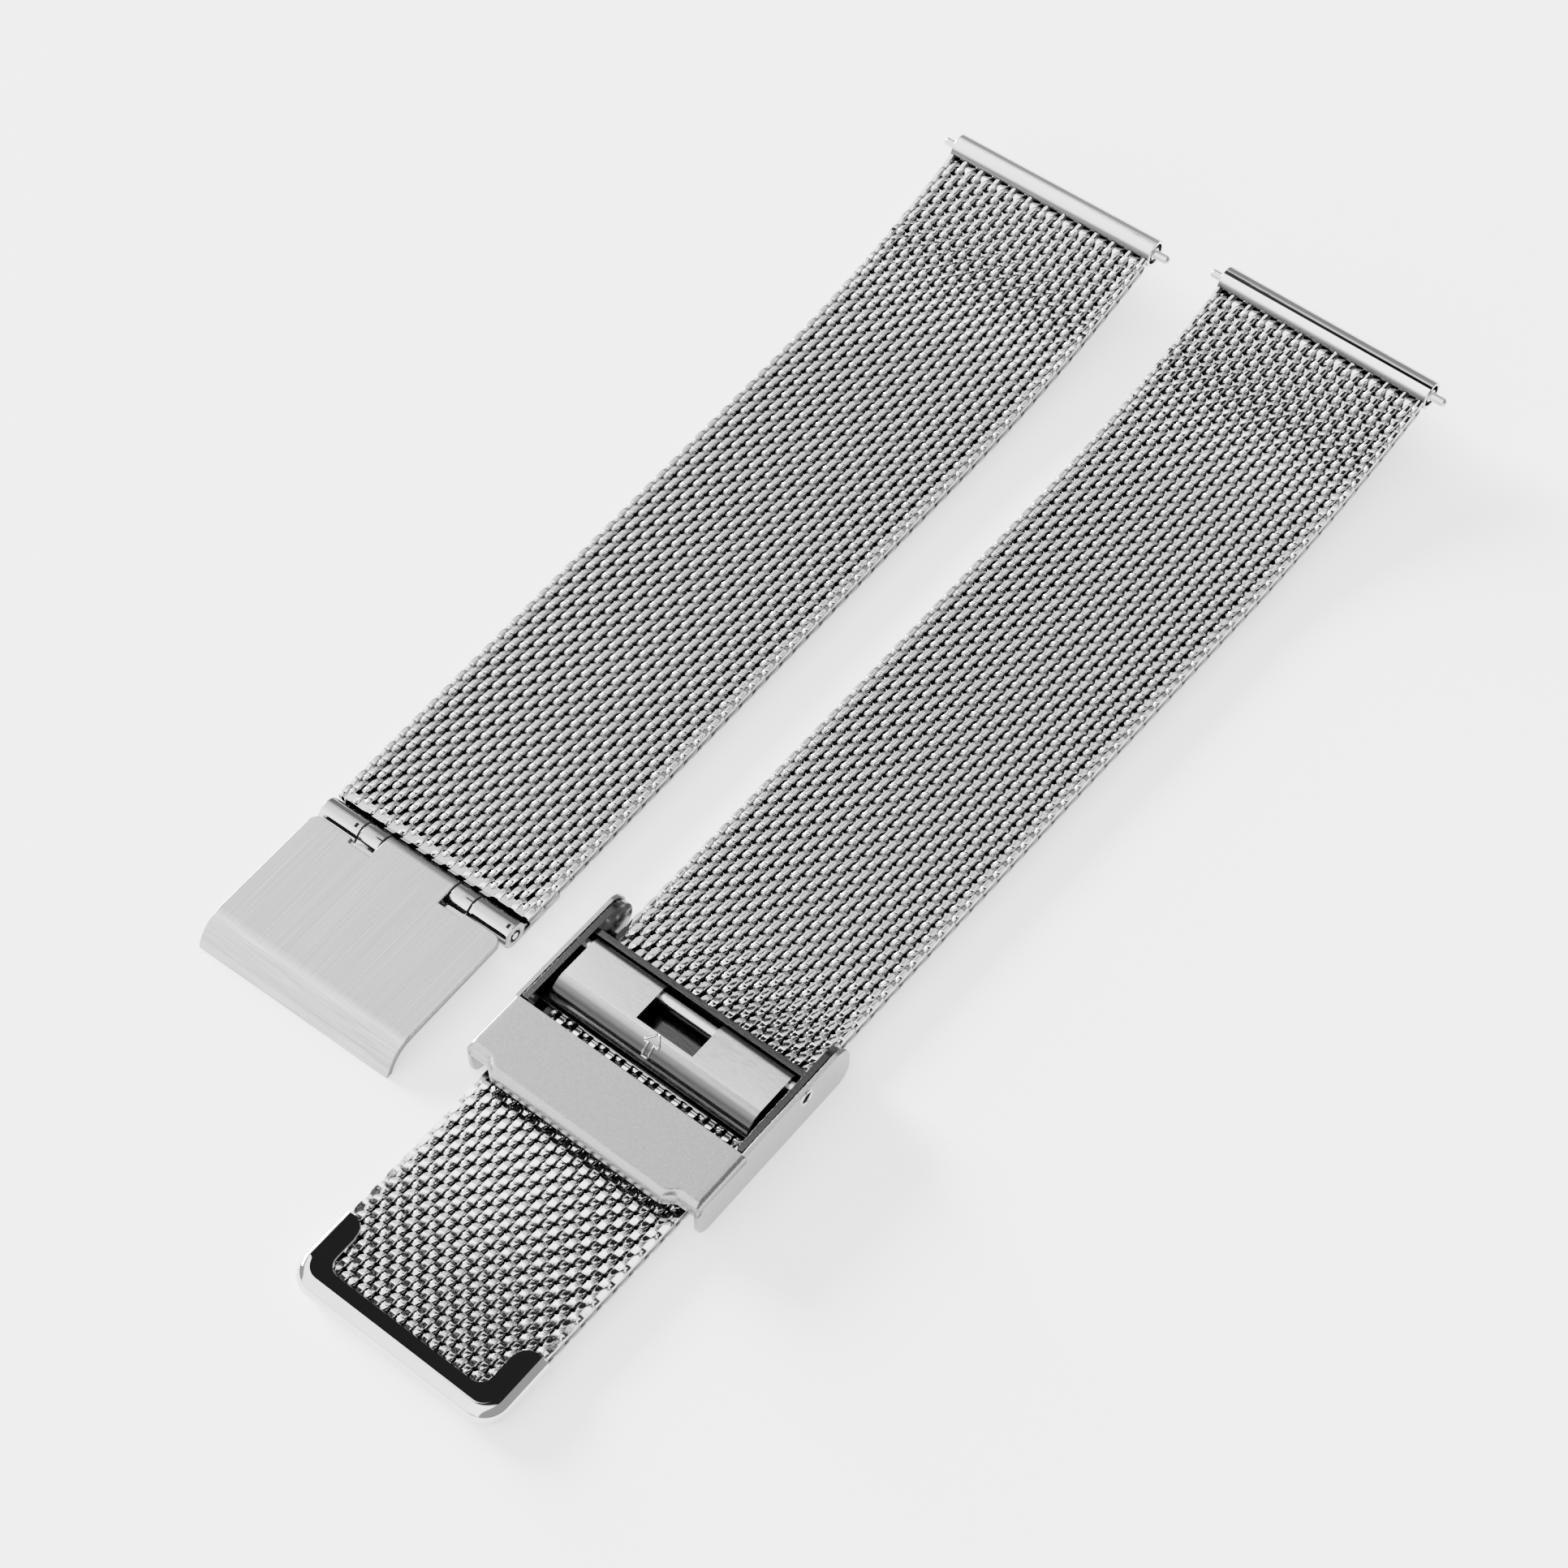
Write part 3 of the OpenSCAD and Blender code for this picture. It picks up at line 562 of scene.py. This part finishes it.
# CAD nodes shown in their own shape: slot, rounding of the edges in millimetres, and any look of their own
SHOWN_NODES = {
    "lug_tube_a": ("polished_tube", 0.1),
    # Tube B takes the tube with a painted dark reflection line
    "lug_tube_b": ("polished_tube", 0.1, "tube_painted_reflection"),
    "spring_bar_a": ("bar_steel", 0.05),
    "tip_a_left": ("bar_steel", 0.04),
    "tip_a_right": ("bar_steel", 0.04),
    "bar_spring_a": ("spring_wire", 0.02),
    "spring_bar_b": ("bar_steel", 0.05),
    "tip_b_left": ("bar_steel", 0.04),
    "tip_b_right": ("bar_steel", 0.04),
    "bar_spring_b": ("spring_wire", 0.02),
    "end_link": ("polished_steel", 0.15),
    "hinge_pin": ("pin_steel", 0.05),
    "hook_leaf": ("hook_steel", 0.13),
    "cover_plate": ("brushed_plate", 0.1),
    "lock_tray": ("tray_steel", 0.08),
    "lock_pin": ("pin_steel", 0.05),
    "lock_flap": ("satin_flap", 0.1),
}
# Points nearer than this are merged, in millimetres, and faces that turn by less are joined, in degrees
MERGE = 0.002
JOIN_ANGLE = 0.6
# Edges that turn by more than this are rounded, in degrees
ROUND_ANGLE = 35


def round_edges(obj, bevel):
    """Rounds the sharp edges of an object with modifiers, by a radius in millimetres."""
    rounded = obj.modifiers.new("rounded", "BEVEL")
    rounded.width = bevel * MM
    rounded.segments = 2
    rounded.limit_method = "ANGLE"
    rounded.angle_limit = math.radians(ROUND_ANGLE)
    normals = obj.modifiers.new("normals", "WEIGHTED_NORMAL")
    normals.keep_sharp = False


def refine(node, slot, bevel, look=None):
    """Joins the flat faces of a CAD node, rounds its edges with modifiers, and gives it its slot and look."""
    obj = frame["nodes"][node]
    obj.data.materials.clear()
    obj.data.materials.append(materials[look or slot])
    weld = obj.modifiers.new("weld", "WELD")
    weld.merge_threshold = MERGE * MM
    flat = obj.modifiers.new("flat", "DECIMATE")
    flat.decimate_type = "DISSOLVE"
    flat.angle_limit = math.radians(JOIN_ANGLE)
    round_edges(obj, bevel)


def extrude(outline, x0, x1):
    """Closed prism across the strap from an outline of (along, height) points, as points and faces."""
    n = len(outline)
    verts = [(x, y, z) for x in (x0, x1) for y, z in outline]
    faces = [list(range(n)), list(range(n, 2 * n))]
    faces += [[i, (i + 1) % n, n + (i + 1) % n, n + i] for i in range(n)]
    return verts, faces


def loft(sections):
    """Closed skin through sections that all have as many points, with both ends filled."""
    n = len(sections[0])
    verts = [tuple(p) for section in sections for p in section]
    faces = [list(range(n)), list(range((len(sections) - 1) * n, len(sections) * n))]
    for a in range(0, (len(sections) - 1) * n, n):
        faces += [[a + i, a + (i + 1) % n, a + n + (i + 1) % n, a + n + i] for i in range(n)]
    return verts, faces


def loop_faces(around, section):
    """Faces of a closed loop of sections that all have as many points."""
    faces = []
    for i in range(around):
        for j in range(section):
            k, m = (i + 1) % around, (j + 1) % section
            faces.append([i * section + j, k * section + j, k * section + m, i * section + m])
    return faces


def ring(centre, radius, wire, around=28, section=10):
    """Ring that lies flat on a side of the strap."""
    verts = []
    for a in np.arange(around) * 2 * math.pi / around:
        for b in np.arange(section) * 2 * math.pi / section:
            out = radius + wire * math.cos(b)
            verts.append((centre[0] + wire * math.sin(b), centre[1] + out * math.cos(a),
                          centre[2] + out * math.sin(a)))
    return verts, loop_faces(around, section)


def band(centre, radii, thick, around=72):
    """Flat ring on edge between two radii, across the strap."""
    inner, outer = radii
    corners = ((inner, -1), (outer, -1), (outer, 1), (inner, 1))
    verts = []
    for a in np.arange(around) * 2 * math.pi / around:
        for radius, side in corners:
            verts.append((centre[0] + side * thick / 2, centre[1] + radius * math.cos(a),
                          centre[2] + radius * math.sin(a)))
    return verts, loop_faces(around, len(corners))


def disc(centre, radius, thick, around=28):
    """Round disc on edge, across the strap."""
    turns = np.arange(around) * 2 * math.pi / around
    outline = [(centre[1] + radius * math.cos(a), centre[2] + radius * math.sin(a)) for a in turns]
    return extrude(outline, centre[0] - thick / 2, centre[0] + thick / 2)


def arc(centre, radius, start, end, steps):
    """Points of an arc, with its angles in degrees."""
    angles = np.radians(np.linspace(start, end, steps + 1))
    return [(centre[0] + radius * math.cos(a), centre[1] + radius * math.sin(a)) for a in angles]


def solid(name, strap, parts, slot, bevel=0.0):
    """One object from closed parts in the strap's flat coordinates."""
    verts, faces = [], []
    for part_verts, part_faces in parts:
        faces += [[i + len(verts) for i in face] for face in part_faces]
        verts += list(part_verts)
    obj = mesh_object(name, strap.local(verts), faces)
    shape = bmesh.new()
    shape.from_mesh(obj.data)
    bmesh.ops.recalc_face_normals(shape, faces=shape.faces)
    shape.to_mesh(obj.data)
    shape.free()
    keep_sharp(obj.data)
    obj.data.materials.append(materials[slot])
    if bevel:
        round_edges(obj, bevel)
    return obj


# Tail cap in millimetres: its outer end along the strap, length, outer corner and rounding, and half height
CAP_END = -110.638
CAP_L = 6.2
CAP_CORNER = 2.2
CAP_ROUND = 1.0
CAP_HALF_H = 1.02
# How far it reaches past the mesh at the sides
CAP_OVER = 0.45
# How far its flanges reach in at the sides and at the end, and the radius of their inner corner
CAP_SIDE_IN = 2.35
CAP_END_IN = 2.1
CAP_IN_R = 1.0
# Length of the rounded tip of an arm, how far its flange reaches in there, and its sections from the tip
CAP_TIP = 1.4
CAP_TIP_IN = 0.2
CAP_ARM = (0, 0.06, 0.2, 0.45, 0.8, CAP_TIP, 2.2)
# Steps round the rounding of a section, and round a corner of the cap
CAP_ROUND_STEPS = 16
CAP_CORNER_STEPS = 12
# Thickness of flange and wall, and the chamfer of the flange's edge
CAP_FLANGE = 0.36
CAP_WALL = 0.75
CAP_EDGE = 0.06


def cap_section(outer, inward, inner):
    """C-shaped section between a point of the outer edge and one of the inner edge, in plan."""
    outer, inward, inner = np.array(outer), np.array(inward), np.array(inner)
    rim, wall = outer + inward * CAP_ROUND, outer + inward * CAP_WALL
    chamfer = (rim - inner) / np.linalg.norm(rim - inner) * CAP_EDGE
    near, level = inner + chamfer, rim - chamfer
    gap = CAP_HALF_H - CAP_FLANGE
    plan = [(inner, CAP_HALF_H - CAP_EDGE), (near, CAP_HALF_H), (level, CAP_HALF_H)]
    for a in np.radians(np.linspace(90, -90, CAP_ROUND_STEPS + 1)):
        plan.append((outer + inward * CAP_ROUND * (1 - math.cos(a)), CAP_HALF_H * math.sin(a)))
    plan += [(level, -CAP_HALF_H), (near, -CAP_HALF_H), (inner, CAP_EDGE - CAP_HALF_H)]
    plan += [(inner, -gap), (wall, -gap), (wall, gap), (inner, gap)]
    return [(p[0], p[1], MID_Z + z) for p, z in plan]


def tail_cap():
    """Polished cap with flat flanges, an even rounding outside and tapered arms."""
    half = width_at(strap_b.end - CAP_L * MM) / MM / 2 + CAP_OVER
    least = CAP_ROUND + CAP_TIP_IN
    side = []
    for back in CAP_ARM:
        y = CAP_END + CAP_L - back
        t = min(back / CAP_TIP, 1)
        depth = least + (CAP_SIDE_IN - least) * math.sqrt(1 - (1 - t) ** 2)
        side.append(((half, y), (-1, 0), (half - depth, y)))
    centre = (half - CAP_CORNER, CAP_END + CAP_CORNER)
    bend = (half - CAP_SIDE_IN - CAP_IN_R, CAP_END + CAP_END_IN + CAP_IN_R)
    for a in np.radians(np.linspace(0, -90, CAP_CORNER_STEPS + 1)):
        c, n = math.cos(a), math.sin(a)
        side.append(((centre[0] + CAP_CORNER * c, centre[1] + CAP_CORNER * n), (-c, -n),
                     (bend[0] + CAP_IN_R * c, bend[1] + CAP_IN_R * n)))
    sections = [cap_section(*station) for station in side]
    sections += [[(-x, y, z) for x, y, z in section] for section in reversed(sections)]
    cap = solid("cap_shell", strap_b, [loft(sections)], "polished_cap")
    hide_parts("tail_cap")
    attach(cap, "strap_b_tail")


# Slider frame in millimetres: the front of its lip along the strap, its wings across and along, and its top
LIP_Y = -91.098
WING_X = (10.05, 10.4)
WING_Y = (-90.398, -73.698)
FRAME_TOP = 4.1
# Thickness of the floor, and radii of a wing's ears and foot
FRAME_T = 0.35
EAR_ROUND = 1.5
FOOT_ROUND = 1.2
# How far a wing stays under and behind the bridge, and the rounding of all edges
WING_UNDER = 0.02
WING_BEHIND = 0.1
FRAME_BEVEL = 0.06
# Bridge: back edge along the strap, thickness, and radius of its folds to the wings
BRIDGE_Y = -85.098
BRIDGE_T = 0.5
FOLD_R = 0.42
# Its chamfers outside and in the inner corner of the lip
SHEET_EDGE = 0.06
INNER_EDGE = 0.2
# Lip: height and rounding, and the step of its front as start and end from the middle and depth
LIP_DEEP = 1.35
LIP_ROUND = 0.7
LIP_STEP = (7.5, 8.7, 0.7)
# Sections of the bridge: round a fold, from there to the step, over the step, and places nearer the middle
FOLD_SECTIONS = 5
SIDE_SECTIONS = 4
STEP_SECTIONS = 11
MIDDLE_SECTIONS = (4.0, 0.0)
# Steps round the lip, an ear and a foot
LIP_STEPS = 6
EAR_STEPS = 8
FOOT_STEPS = 6


def bridge_section(x, drop):
    """Section of the bent bridge sheet at one place across."""
    start, end, step = LIP_STEP
    t = min(max((abs(x) - start) / (end - start), 0), 1)
    front = LIP_Y + step * t * t * (3 - 2 * t)
    back = front + BRIDGE_T
    top = FRAME_TOP - drop
    under = top - BRIDGE_T
    low = FRAME_TOP - LIP_DEEP
    points = [(BRIDGE_Y, top - SHEET_EDGE), (BRIDGE_Y - SHEET_EDGE, top)]
    points += arc((front + LIP_ROUND, top - LIP_ROUND), LIP_ROUND, 90, 180, LIP_STEPS)
    points += [(front, low + SHEET_EDGE), (front + SHEET_EDGE, low), (back, low)]
    points += [(back, under - INNER_EDGE), (back + INNER_EDGE, under), (BRIDGE_Y, under)]
    return [(x, y, z) for y, z in points]


def slider_frame():
    """Bent sheet frame: two side wings with ears, a floor under the mesh and the bridge over it."""
    fold_x = WING_X[1] - FOLD_R
    step_in, step_out, _ = LIP_STEP
    turns = np.radians(np.linspace(90, 0, FOLD_SECTIONS + 1)[:-1])
    stations = [(fold_x + FOLD_R * math.sin(a), FOLD_R * (1 - math.cos(a))) for a in turns]
    stations += [(x, 0.0) for x in np.linspace(fold_x, step_out, SIDE_SECTIONS)]
    stations += [(x, 0.0) for x in np.linspace(step_out, step_in, STEP_SECTIONS)[1:]]
    stations += [(x, 0.0) for x in MIDDLE_SECTIONS]
    stations += [(-x, drop) for x, drop in reversed(stations[:-1])]
    parts = [loft([bridge_section(x, drop) for x, drop in reversed(stations)])]
    y0, y1 = WING_Y
    shoulder = FRAME_TOP - FOLD_R - WING_UNDER
    behind = BRIDGE_Y - WING_BEHIND
    wing = [(y0, shoulder), (behind, shoulder), (behind, FRAME_TOP)]
    wing += arc((y1 - EAR_ROUND, FRAME_TOP - EAR_ROUND), EAR_ROUND, 90, 0, EAR_STEPS)
    wing += arc((y1 - EAR_ROUND, EAR_ROUND), EAR_ROUND, 0, -90, EAR_STEPS)
    wing += arc((y0 + FOOT_ROUND, FOOT_ROUND), FOOT_ROUND, -90, -180, FOOT_STEPS)
    for side in (-1, 1):
        parts.append(extrude(wing, side * WING_X[0], side * WING_X[1]))
    front, back = y0 + FOOT_ROUND, y1 - EAR_ROUND
    floor = [(front, 0), (back, 0), (back, FRAME_T), (front, FRAME_T)]
    parts.append(extrude(floor, -WING_X[0], WING_X[0]))
    frame_shell = solid("frame_shell", strap_b, parts, "satin_frame", FRAME_BEVEL)
    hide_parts("slider_frame")
    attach(frame_shell, "lock_slider")


# Middles of the pins along the strap and over the ground, and the place of the hinge pin's ends across
LOCK_PIN = (-78.598, 3.25)
HINGE_PIN = (-79.068, 1.1)
HINGE_END_X = 9.0
# Radii of the ring riveted on the lock pin and of its rim
RIVET = (0.58, 0.12)
# Radii of the hinge pin's hole and of its end
PIN_HOLE = (0.52, 0.3)
# Thickness of a dark disc of painted shade and of a bare pin end, and the rounding of that end
DARK_T = 0.03
PIN_FACE_T = 0.08
PIN_FACE_BEVEL = 0.03


def pin_end(name, strap, x, centre, body):
    """Riveted end of a pin: a bright ring round a dark disc of painted shade in its recess."""
    radius, wire = RIVET
    rim = solid(f"{name}_ring", strap, [ring((x, *centre), radius, wire)], "pin_steel")
    eye = solid(f"{name}_eye", strap, [disc((x, *centre), radius, DARK_T)], "painted_shade_black")
    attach(rim, body)
    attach(eye, body)


def pin_face(name, strap, x, centre, body):
    """Bare end of a pin in its hole: a bright disc in a dark disc of painted shade for the gap."""
    wide, narrow = PIN_HOLE
    gap = solid(f"{name}_gap", strap, [disc((x, *centre), wide, DARK_T)], "painted_shade_black")
    end = solid(f"{name}_end", strap, [disc((x, *centre), narrow, PIN_FACE_T)], "pin_steel", PIN_FACE_BEVEL)
    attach(gap, body)
    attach(end, body)


# Gaps between the hinge's knuckles: places from the strap's middle, and radii and thickness of the dark rings
# of painted shade
KNUCKLE_GAPS = (3.35, 5.3)
KNUCKLE_BAND = (0.95, 1.108)
KNUCKLE_BAND_T = 0.09
# Punched marks on the long knuckles, as dark blocks of painted shade: places across and along
KNUCKLE_MARKS = {"left": (-5.83, -79.27), "right": (8.58, -79.21)}
# Their reach round the knuckle to each side in degrees, and the steps over it
MARK_REACH = 10
MARK_STEPS = 4
# How far they stand out and go in, and half their width
MARK_OUT = 0.012
MARK_IN = 0.05
MARK_HALF = 0.13


def knuckle_gaps():
    """Dark rings of painted shade in the gaps between the knuckles of the cover's hinge."""
    for i, x in enumerate(KNUCKLE_GAPS):
        for side, name in ((-1, "left"), (1, "right")):
            dark = band((side * x, *HINGE_PIN), KNUCKLE_BAND, KNUCKLE_BAND_T)
            gap = solid(f"knuckle_gap_{name}_{i}", strap_a, [dark], "painted_shade_black")
            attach(gap, "strap_a_end")


def knuckle_marks():
    """Small punched marks on the tops of the long knuckles, as dark blocks of painted shade."""
    radius = HINGE_PIN[1]
    for name, (x, y) in KNUCKLE_MARKS.items():
        middle = math.degrees(math.acos((y - HINGE_PIN[0]) / radius))
        outline = arc(HINGE_PIN, radius + MARK_OUT, middle - MARK_REACH, middle + MARK_REACH, MARK_STEPS)
        outline += arc(HINGE_PIN, radius - MARK_IN, middle + MARK_REACH, middle - MARK_REACH, MARK_STEPS)
        block = extrude(outline, x - MARK_HALF, x + MARK_HALF)
        mark = solid(f"knuckle_mark_{name}", strap_a, [block], "painted_shade_black")
        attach(mark, "strap_a_end")


# Lip on the front of the tray's floor: its ends along the strap and in height, half its width and rounding
TRAY_EDGE_Y = (-83.62, -83.4)
TRAY_EDGE_Z = (1.8, 2.06)
TRAY_EDGE_HALF = 5.6
TRAY_EDGE_BEVEL = 0.04


def block_outline(y_range, z_range):
    """Outline of a plain block."""
    (y0, y1), (z0, z1) = y_range, z_range
    return [(y0, z0), (y1, z0), (y1, z1), (y0, z1)]


def tray_edge():
    """Lip on the front of the tray's floor, between its chamfered corners."""
    block = extrude(block_outline(TRAY_EDGE_Y, TRAY_EDGE_Z), -TRAY_EDGE_HALF, TRAY_EDGE_HALF)
    edge = solid("tray_edge", strap_b, [block], "pin_steel", TRAY_EDGE_BEVEL)
    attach(edge, "lock_slider")


# Solder that fills the weave where it is welded to the end link: length, height and margin at the sides
SOLDER = (0.8, 0.8, 0.25)


def solder():
    """Flat strip of solder inside the last coils of strap A."""
    long, high, margin = SOLDER
    half = width_at(strap_a.end) / MM / 2 - margin
    low_y = strap_a.end_y - END_BULGE["a"]
    outline = block_outline((low_y, low_y + long), (MID_Z - high / 2, MID_Z + high / 2))
    strip = solid("solder_strip", strap_a, [extrude(outline, -half, half)], "mesh_wire")
    # Its height gives the strip part of the mesh's painted shade
    give_heights(strip, [high / 2] * len(strip.data.vertices))
    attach(strip, "strap_a_end")


# Flap: where its flat top ends, and the outer radius of its bend
FLAP_BEND_Y = -81.698
FLAP_BEND_R = 1.8
# Arrow on the flap: its place across, its tip along the strap, and its outline across and down from the tip
ARROW_X = -0.36
ARROW_TIP_Y = -81.44
ARROW = ((0, 0), (0.62, 0.8), (0.55, 0.95), (0.26, 0.88), (0.26, 1.95), (-0.26, 1.95), (-0.26, 0.88),
         (-0.55, 0.95), (-0.62, 0.8))
# Radius of its raised line, and the points along each side and round the line
ARROW_R = 0.1
ARROW_STEPS = 6
ARROW_SIDES = 8


def on_flap(x, down):
    """Point of the flap's outer skin and the skin's normal, at a distance down from the arrow's tip."""
    flat = ARROW_TIP_Y - FLAP_BEND_Y
    if down <= flat:
        return np.array([x, ARROW_TIP_Y - down, FRAME_TOP]), np.array([0, 0, 1.0])
    a = (down - flat) / FLAP_BEND_R
    normal = np.array([0, -math.sin(a), math.cos(a)])
    middle = np.array([x, FLAP_BEND_Y, FRAME_TOP - FLAP_BEND_R])
    return middle + FLAP_BEND_R * normal, normal


def arrow():
    """Plain embossed arrow on the flap that shows which way it opens."""
    path = []
    for (x0, d0), (x1, d1) in zip(ARROW, ARROW[1:] + ARROW[:1]):
        for t in np.arange(ARROW_STEPS) / ARROW_STEPS:
            path.append(on_flap(ARROW_X + x0 + (x1 - x0) * t, d0 + (d1 - d0) * t))
    verts = []
    for i, (point, normal) in enumerate(path):
        ahead = path[(i + 1) % len(path)][0] - path[i - 1][0]
        side = np.cross(ahead, normal)
        side /= np.linalg.norm(side)
        for a in np.arange(ARROW_SIDES) * 2 * math.pi / ARROW_SIDES:
            verts.append(tuple(point + ARROW_R * (math.cos(a) * side + math.sin(a) * normal)))
    mark = solid("flap_arrow", strap_b, [(verts, loop_faces(len(path), ARROW_SIDES))], "pin_steel")
    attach(mark, "lock_lever")


# Floor: side in metres, colour, roughness, and the light that it gives by itself
FLOOR_SIDE = 4.0
FLOOR_COLOUR = (0.92, 0.92, 0.925, 1)
FLOOR_ROUGH = 0.6
FLOOR_GLOW = 1.3
WHITE = (1, 1, 1, 1)


def lit_floor():
    """Pale floor that gives a little light by itself."""
    bpy.ops.mesh.primitive_plane_add(size=FLOOR_SIDE, location=(0, 0, 0))
    floor = bpy.context.object
    floor.name = "floor"
    material, _, _, shader = node_tree("floor")
    shader.inputs["Base Color"].default_value = FLOOR_COLOUR
    shader.inputs["Roughness"].default_value = FLOOR_ROUGH
    shader.inputs["Emission Color"].default_value = WHITE
    shader.inputs["Emission Strength"].default_value = FLOOR_GLOW
    floor.data.materials.append(material)


# Plain light of the studio, and the little that is left in its dark gaps
SKY_BASE = 0.5
SKY_LEAST = 0.03
# Height of direction over which the softboxes set in above the horizon
HORIZON_SOFT = 0.1
# Softboxes over the band: low and high on x, low and high on y of the direction, soft edge, brightness
SOFTBOXES = (
    ((-0.75, -0.31), (-0.98, 0.35), 0.1, 3.8),
    ((-0.31, 0.3), (-0.98, 0.02), 0.1, 4.4),
    ((-0.7, 0.1), (0.313, 0.37), 0.03, 3.5),
    ((-0.7, 0.1), (0.33, 0.62), 0.12, 1.7),
    ((-0.97, -0.9), (-0.1, 0.35), 0.03, 220.0),
)
# Dark gaps between the softboxes, seen as black lines in the flat faces
GAPS = (
    ((-0.8, 0.35), (0.262, 0.313), 0.004),
    ((-0.345, -0.3), (0.385, 0.52), 0.01),
    ((-0.285, 0.35), (0.1, 0.3), 0.012),
)


def sky():
    """World light made of softboxes over a plain room, with dark gaps between them."""
    world = bpy.data.worlds.new("studio")
    bpy.context.scene.world = world
    world.use_nodes = True
    nodes, links = world.node_tree.nodes, world.node_tree.links
    place = nodes.new("ShaderNodeTexCoord")
    split = nodes.new("ShaderNodeSeparateXYZ")
    links.new(place.outputs["Generated"], split.inputs["Vector"])

    def maths(operation, *values):
        node = nodes.new("ShaderNodeMath")
        node.operation = operation
        for socket, value in zip(node.inputs, values):
            if isinstance(value, (int, float)):
                socket.default_value = value
            else:
                links.new(value, socket)
        return node.outputs["Value"]

    def step(value, edge, soft):
        """Soft step from 0 to 1 at an edge."""
        ramp = map_range(nodes, links, value, edge - soft / 2, edge + soft / 2, "SMOOTHSTEP")
        return ramp.outputs["Result"]

    def window(x_range, y_range, soft):
        """1 inside a window of directions above the horizon, and 0 outside it."""
        share = step(split.outputs["Z"], HORIZON_SOFT / 2, HORIZON_SOFT)
        for axis, (low, high) in (("X", x_range), ("Y", y_range)):
            value = split.outputs[axis]
            share = maths("MULTIPLY", share, step(value, low, soft))
            share = maths("MULTIPLY", share, step(maths("MULTIPLY", value, -1), -high, soft))
        return share

    total = SKY_BASE
    for x_range, y_range, soft, bright in SOFTBOXES:
        total = maths("ADD", total, maths("MULTIPLY", window(x_range, y_range, soft), bright))
    for gap in GAPS:
        total = maths("MULTIPLY", total, maths("SUBTRACT", 1, window(*gap)))
    total = maths("ADD", total, SKY_LEAST)
    links.new(total, nodes["Background"].inputs["Strength"])
    nodes["Background"].inputs["Color"].default_value = WHITE


# Camera: place from the middle of strap A's lug tube, direction in degrees, lens and sensor in millimetres
CAMERA_FROM_TUBE = Vector((107.45, -176.65, 213.63)) * MM
CAMERA_AZIMUTH = 37.5
CAMERA_ELEVATION = 55.4
LENS = 81.9
SENSOR = 36.0
# Nearest and farthest that it shows, in metres
CLIP = (0.01, 10)


def aim_camera():
    """Camera at the photograph's place and angle."""
    data = bpy.data.cameras.new("camera")
    data.lens = LENS
    data.sensor_width = SENSOR
    data.clip_start, data.clip_end = CLIP
    camera = bpy.data.objects.new("camera", data)
    a, e = math.radians(CAMERA_AZIMUTH), math.radians(CAMERA_ELEVATION)
    back = Vector((math.sin(a) * math.cos(e), -math.cos(a) * math.cos(e), math.sin(e)))
    camera.rotation_mode = "QUATERNION"
    camera.rotation_quaternion = (-back).to_track_quat("-Z", "Y")
    camera.location = strap_a.tube + CAMERA_FROM_TUBE
    bpy.context.scene.collection.objects.link(camera)
    bpy.context.scene.camera = camera


weave(strap_a)
weave(strap_b)
for node, values in SHOWN_NODES.items():
    refine(node, *values)
tail_cap()
slider_frame()
arrow()
tray_edge()
solder()
for side, name in ((-1, "left"), (1, "right")):
    pin_end(f"lock_pin_{name}", strap_b, side * WING_X[1], LOCK_PIN, "lock_slider")
    pin_face(f"hinge_pin_{name}", strap_a, side * HINGE_END_X, HINGE_PIN, "strap_a_end")
knuckle_gaps()
knuckle_marks()
lit_floor()
sky()
aim_camera()
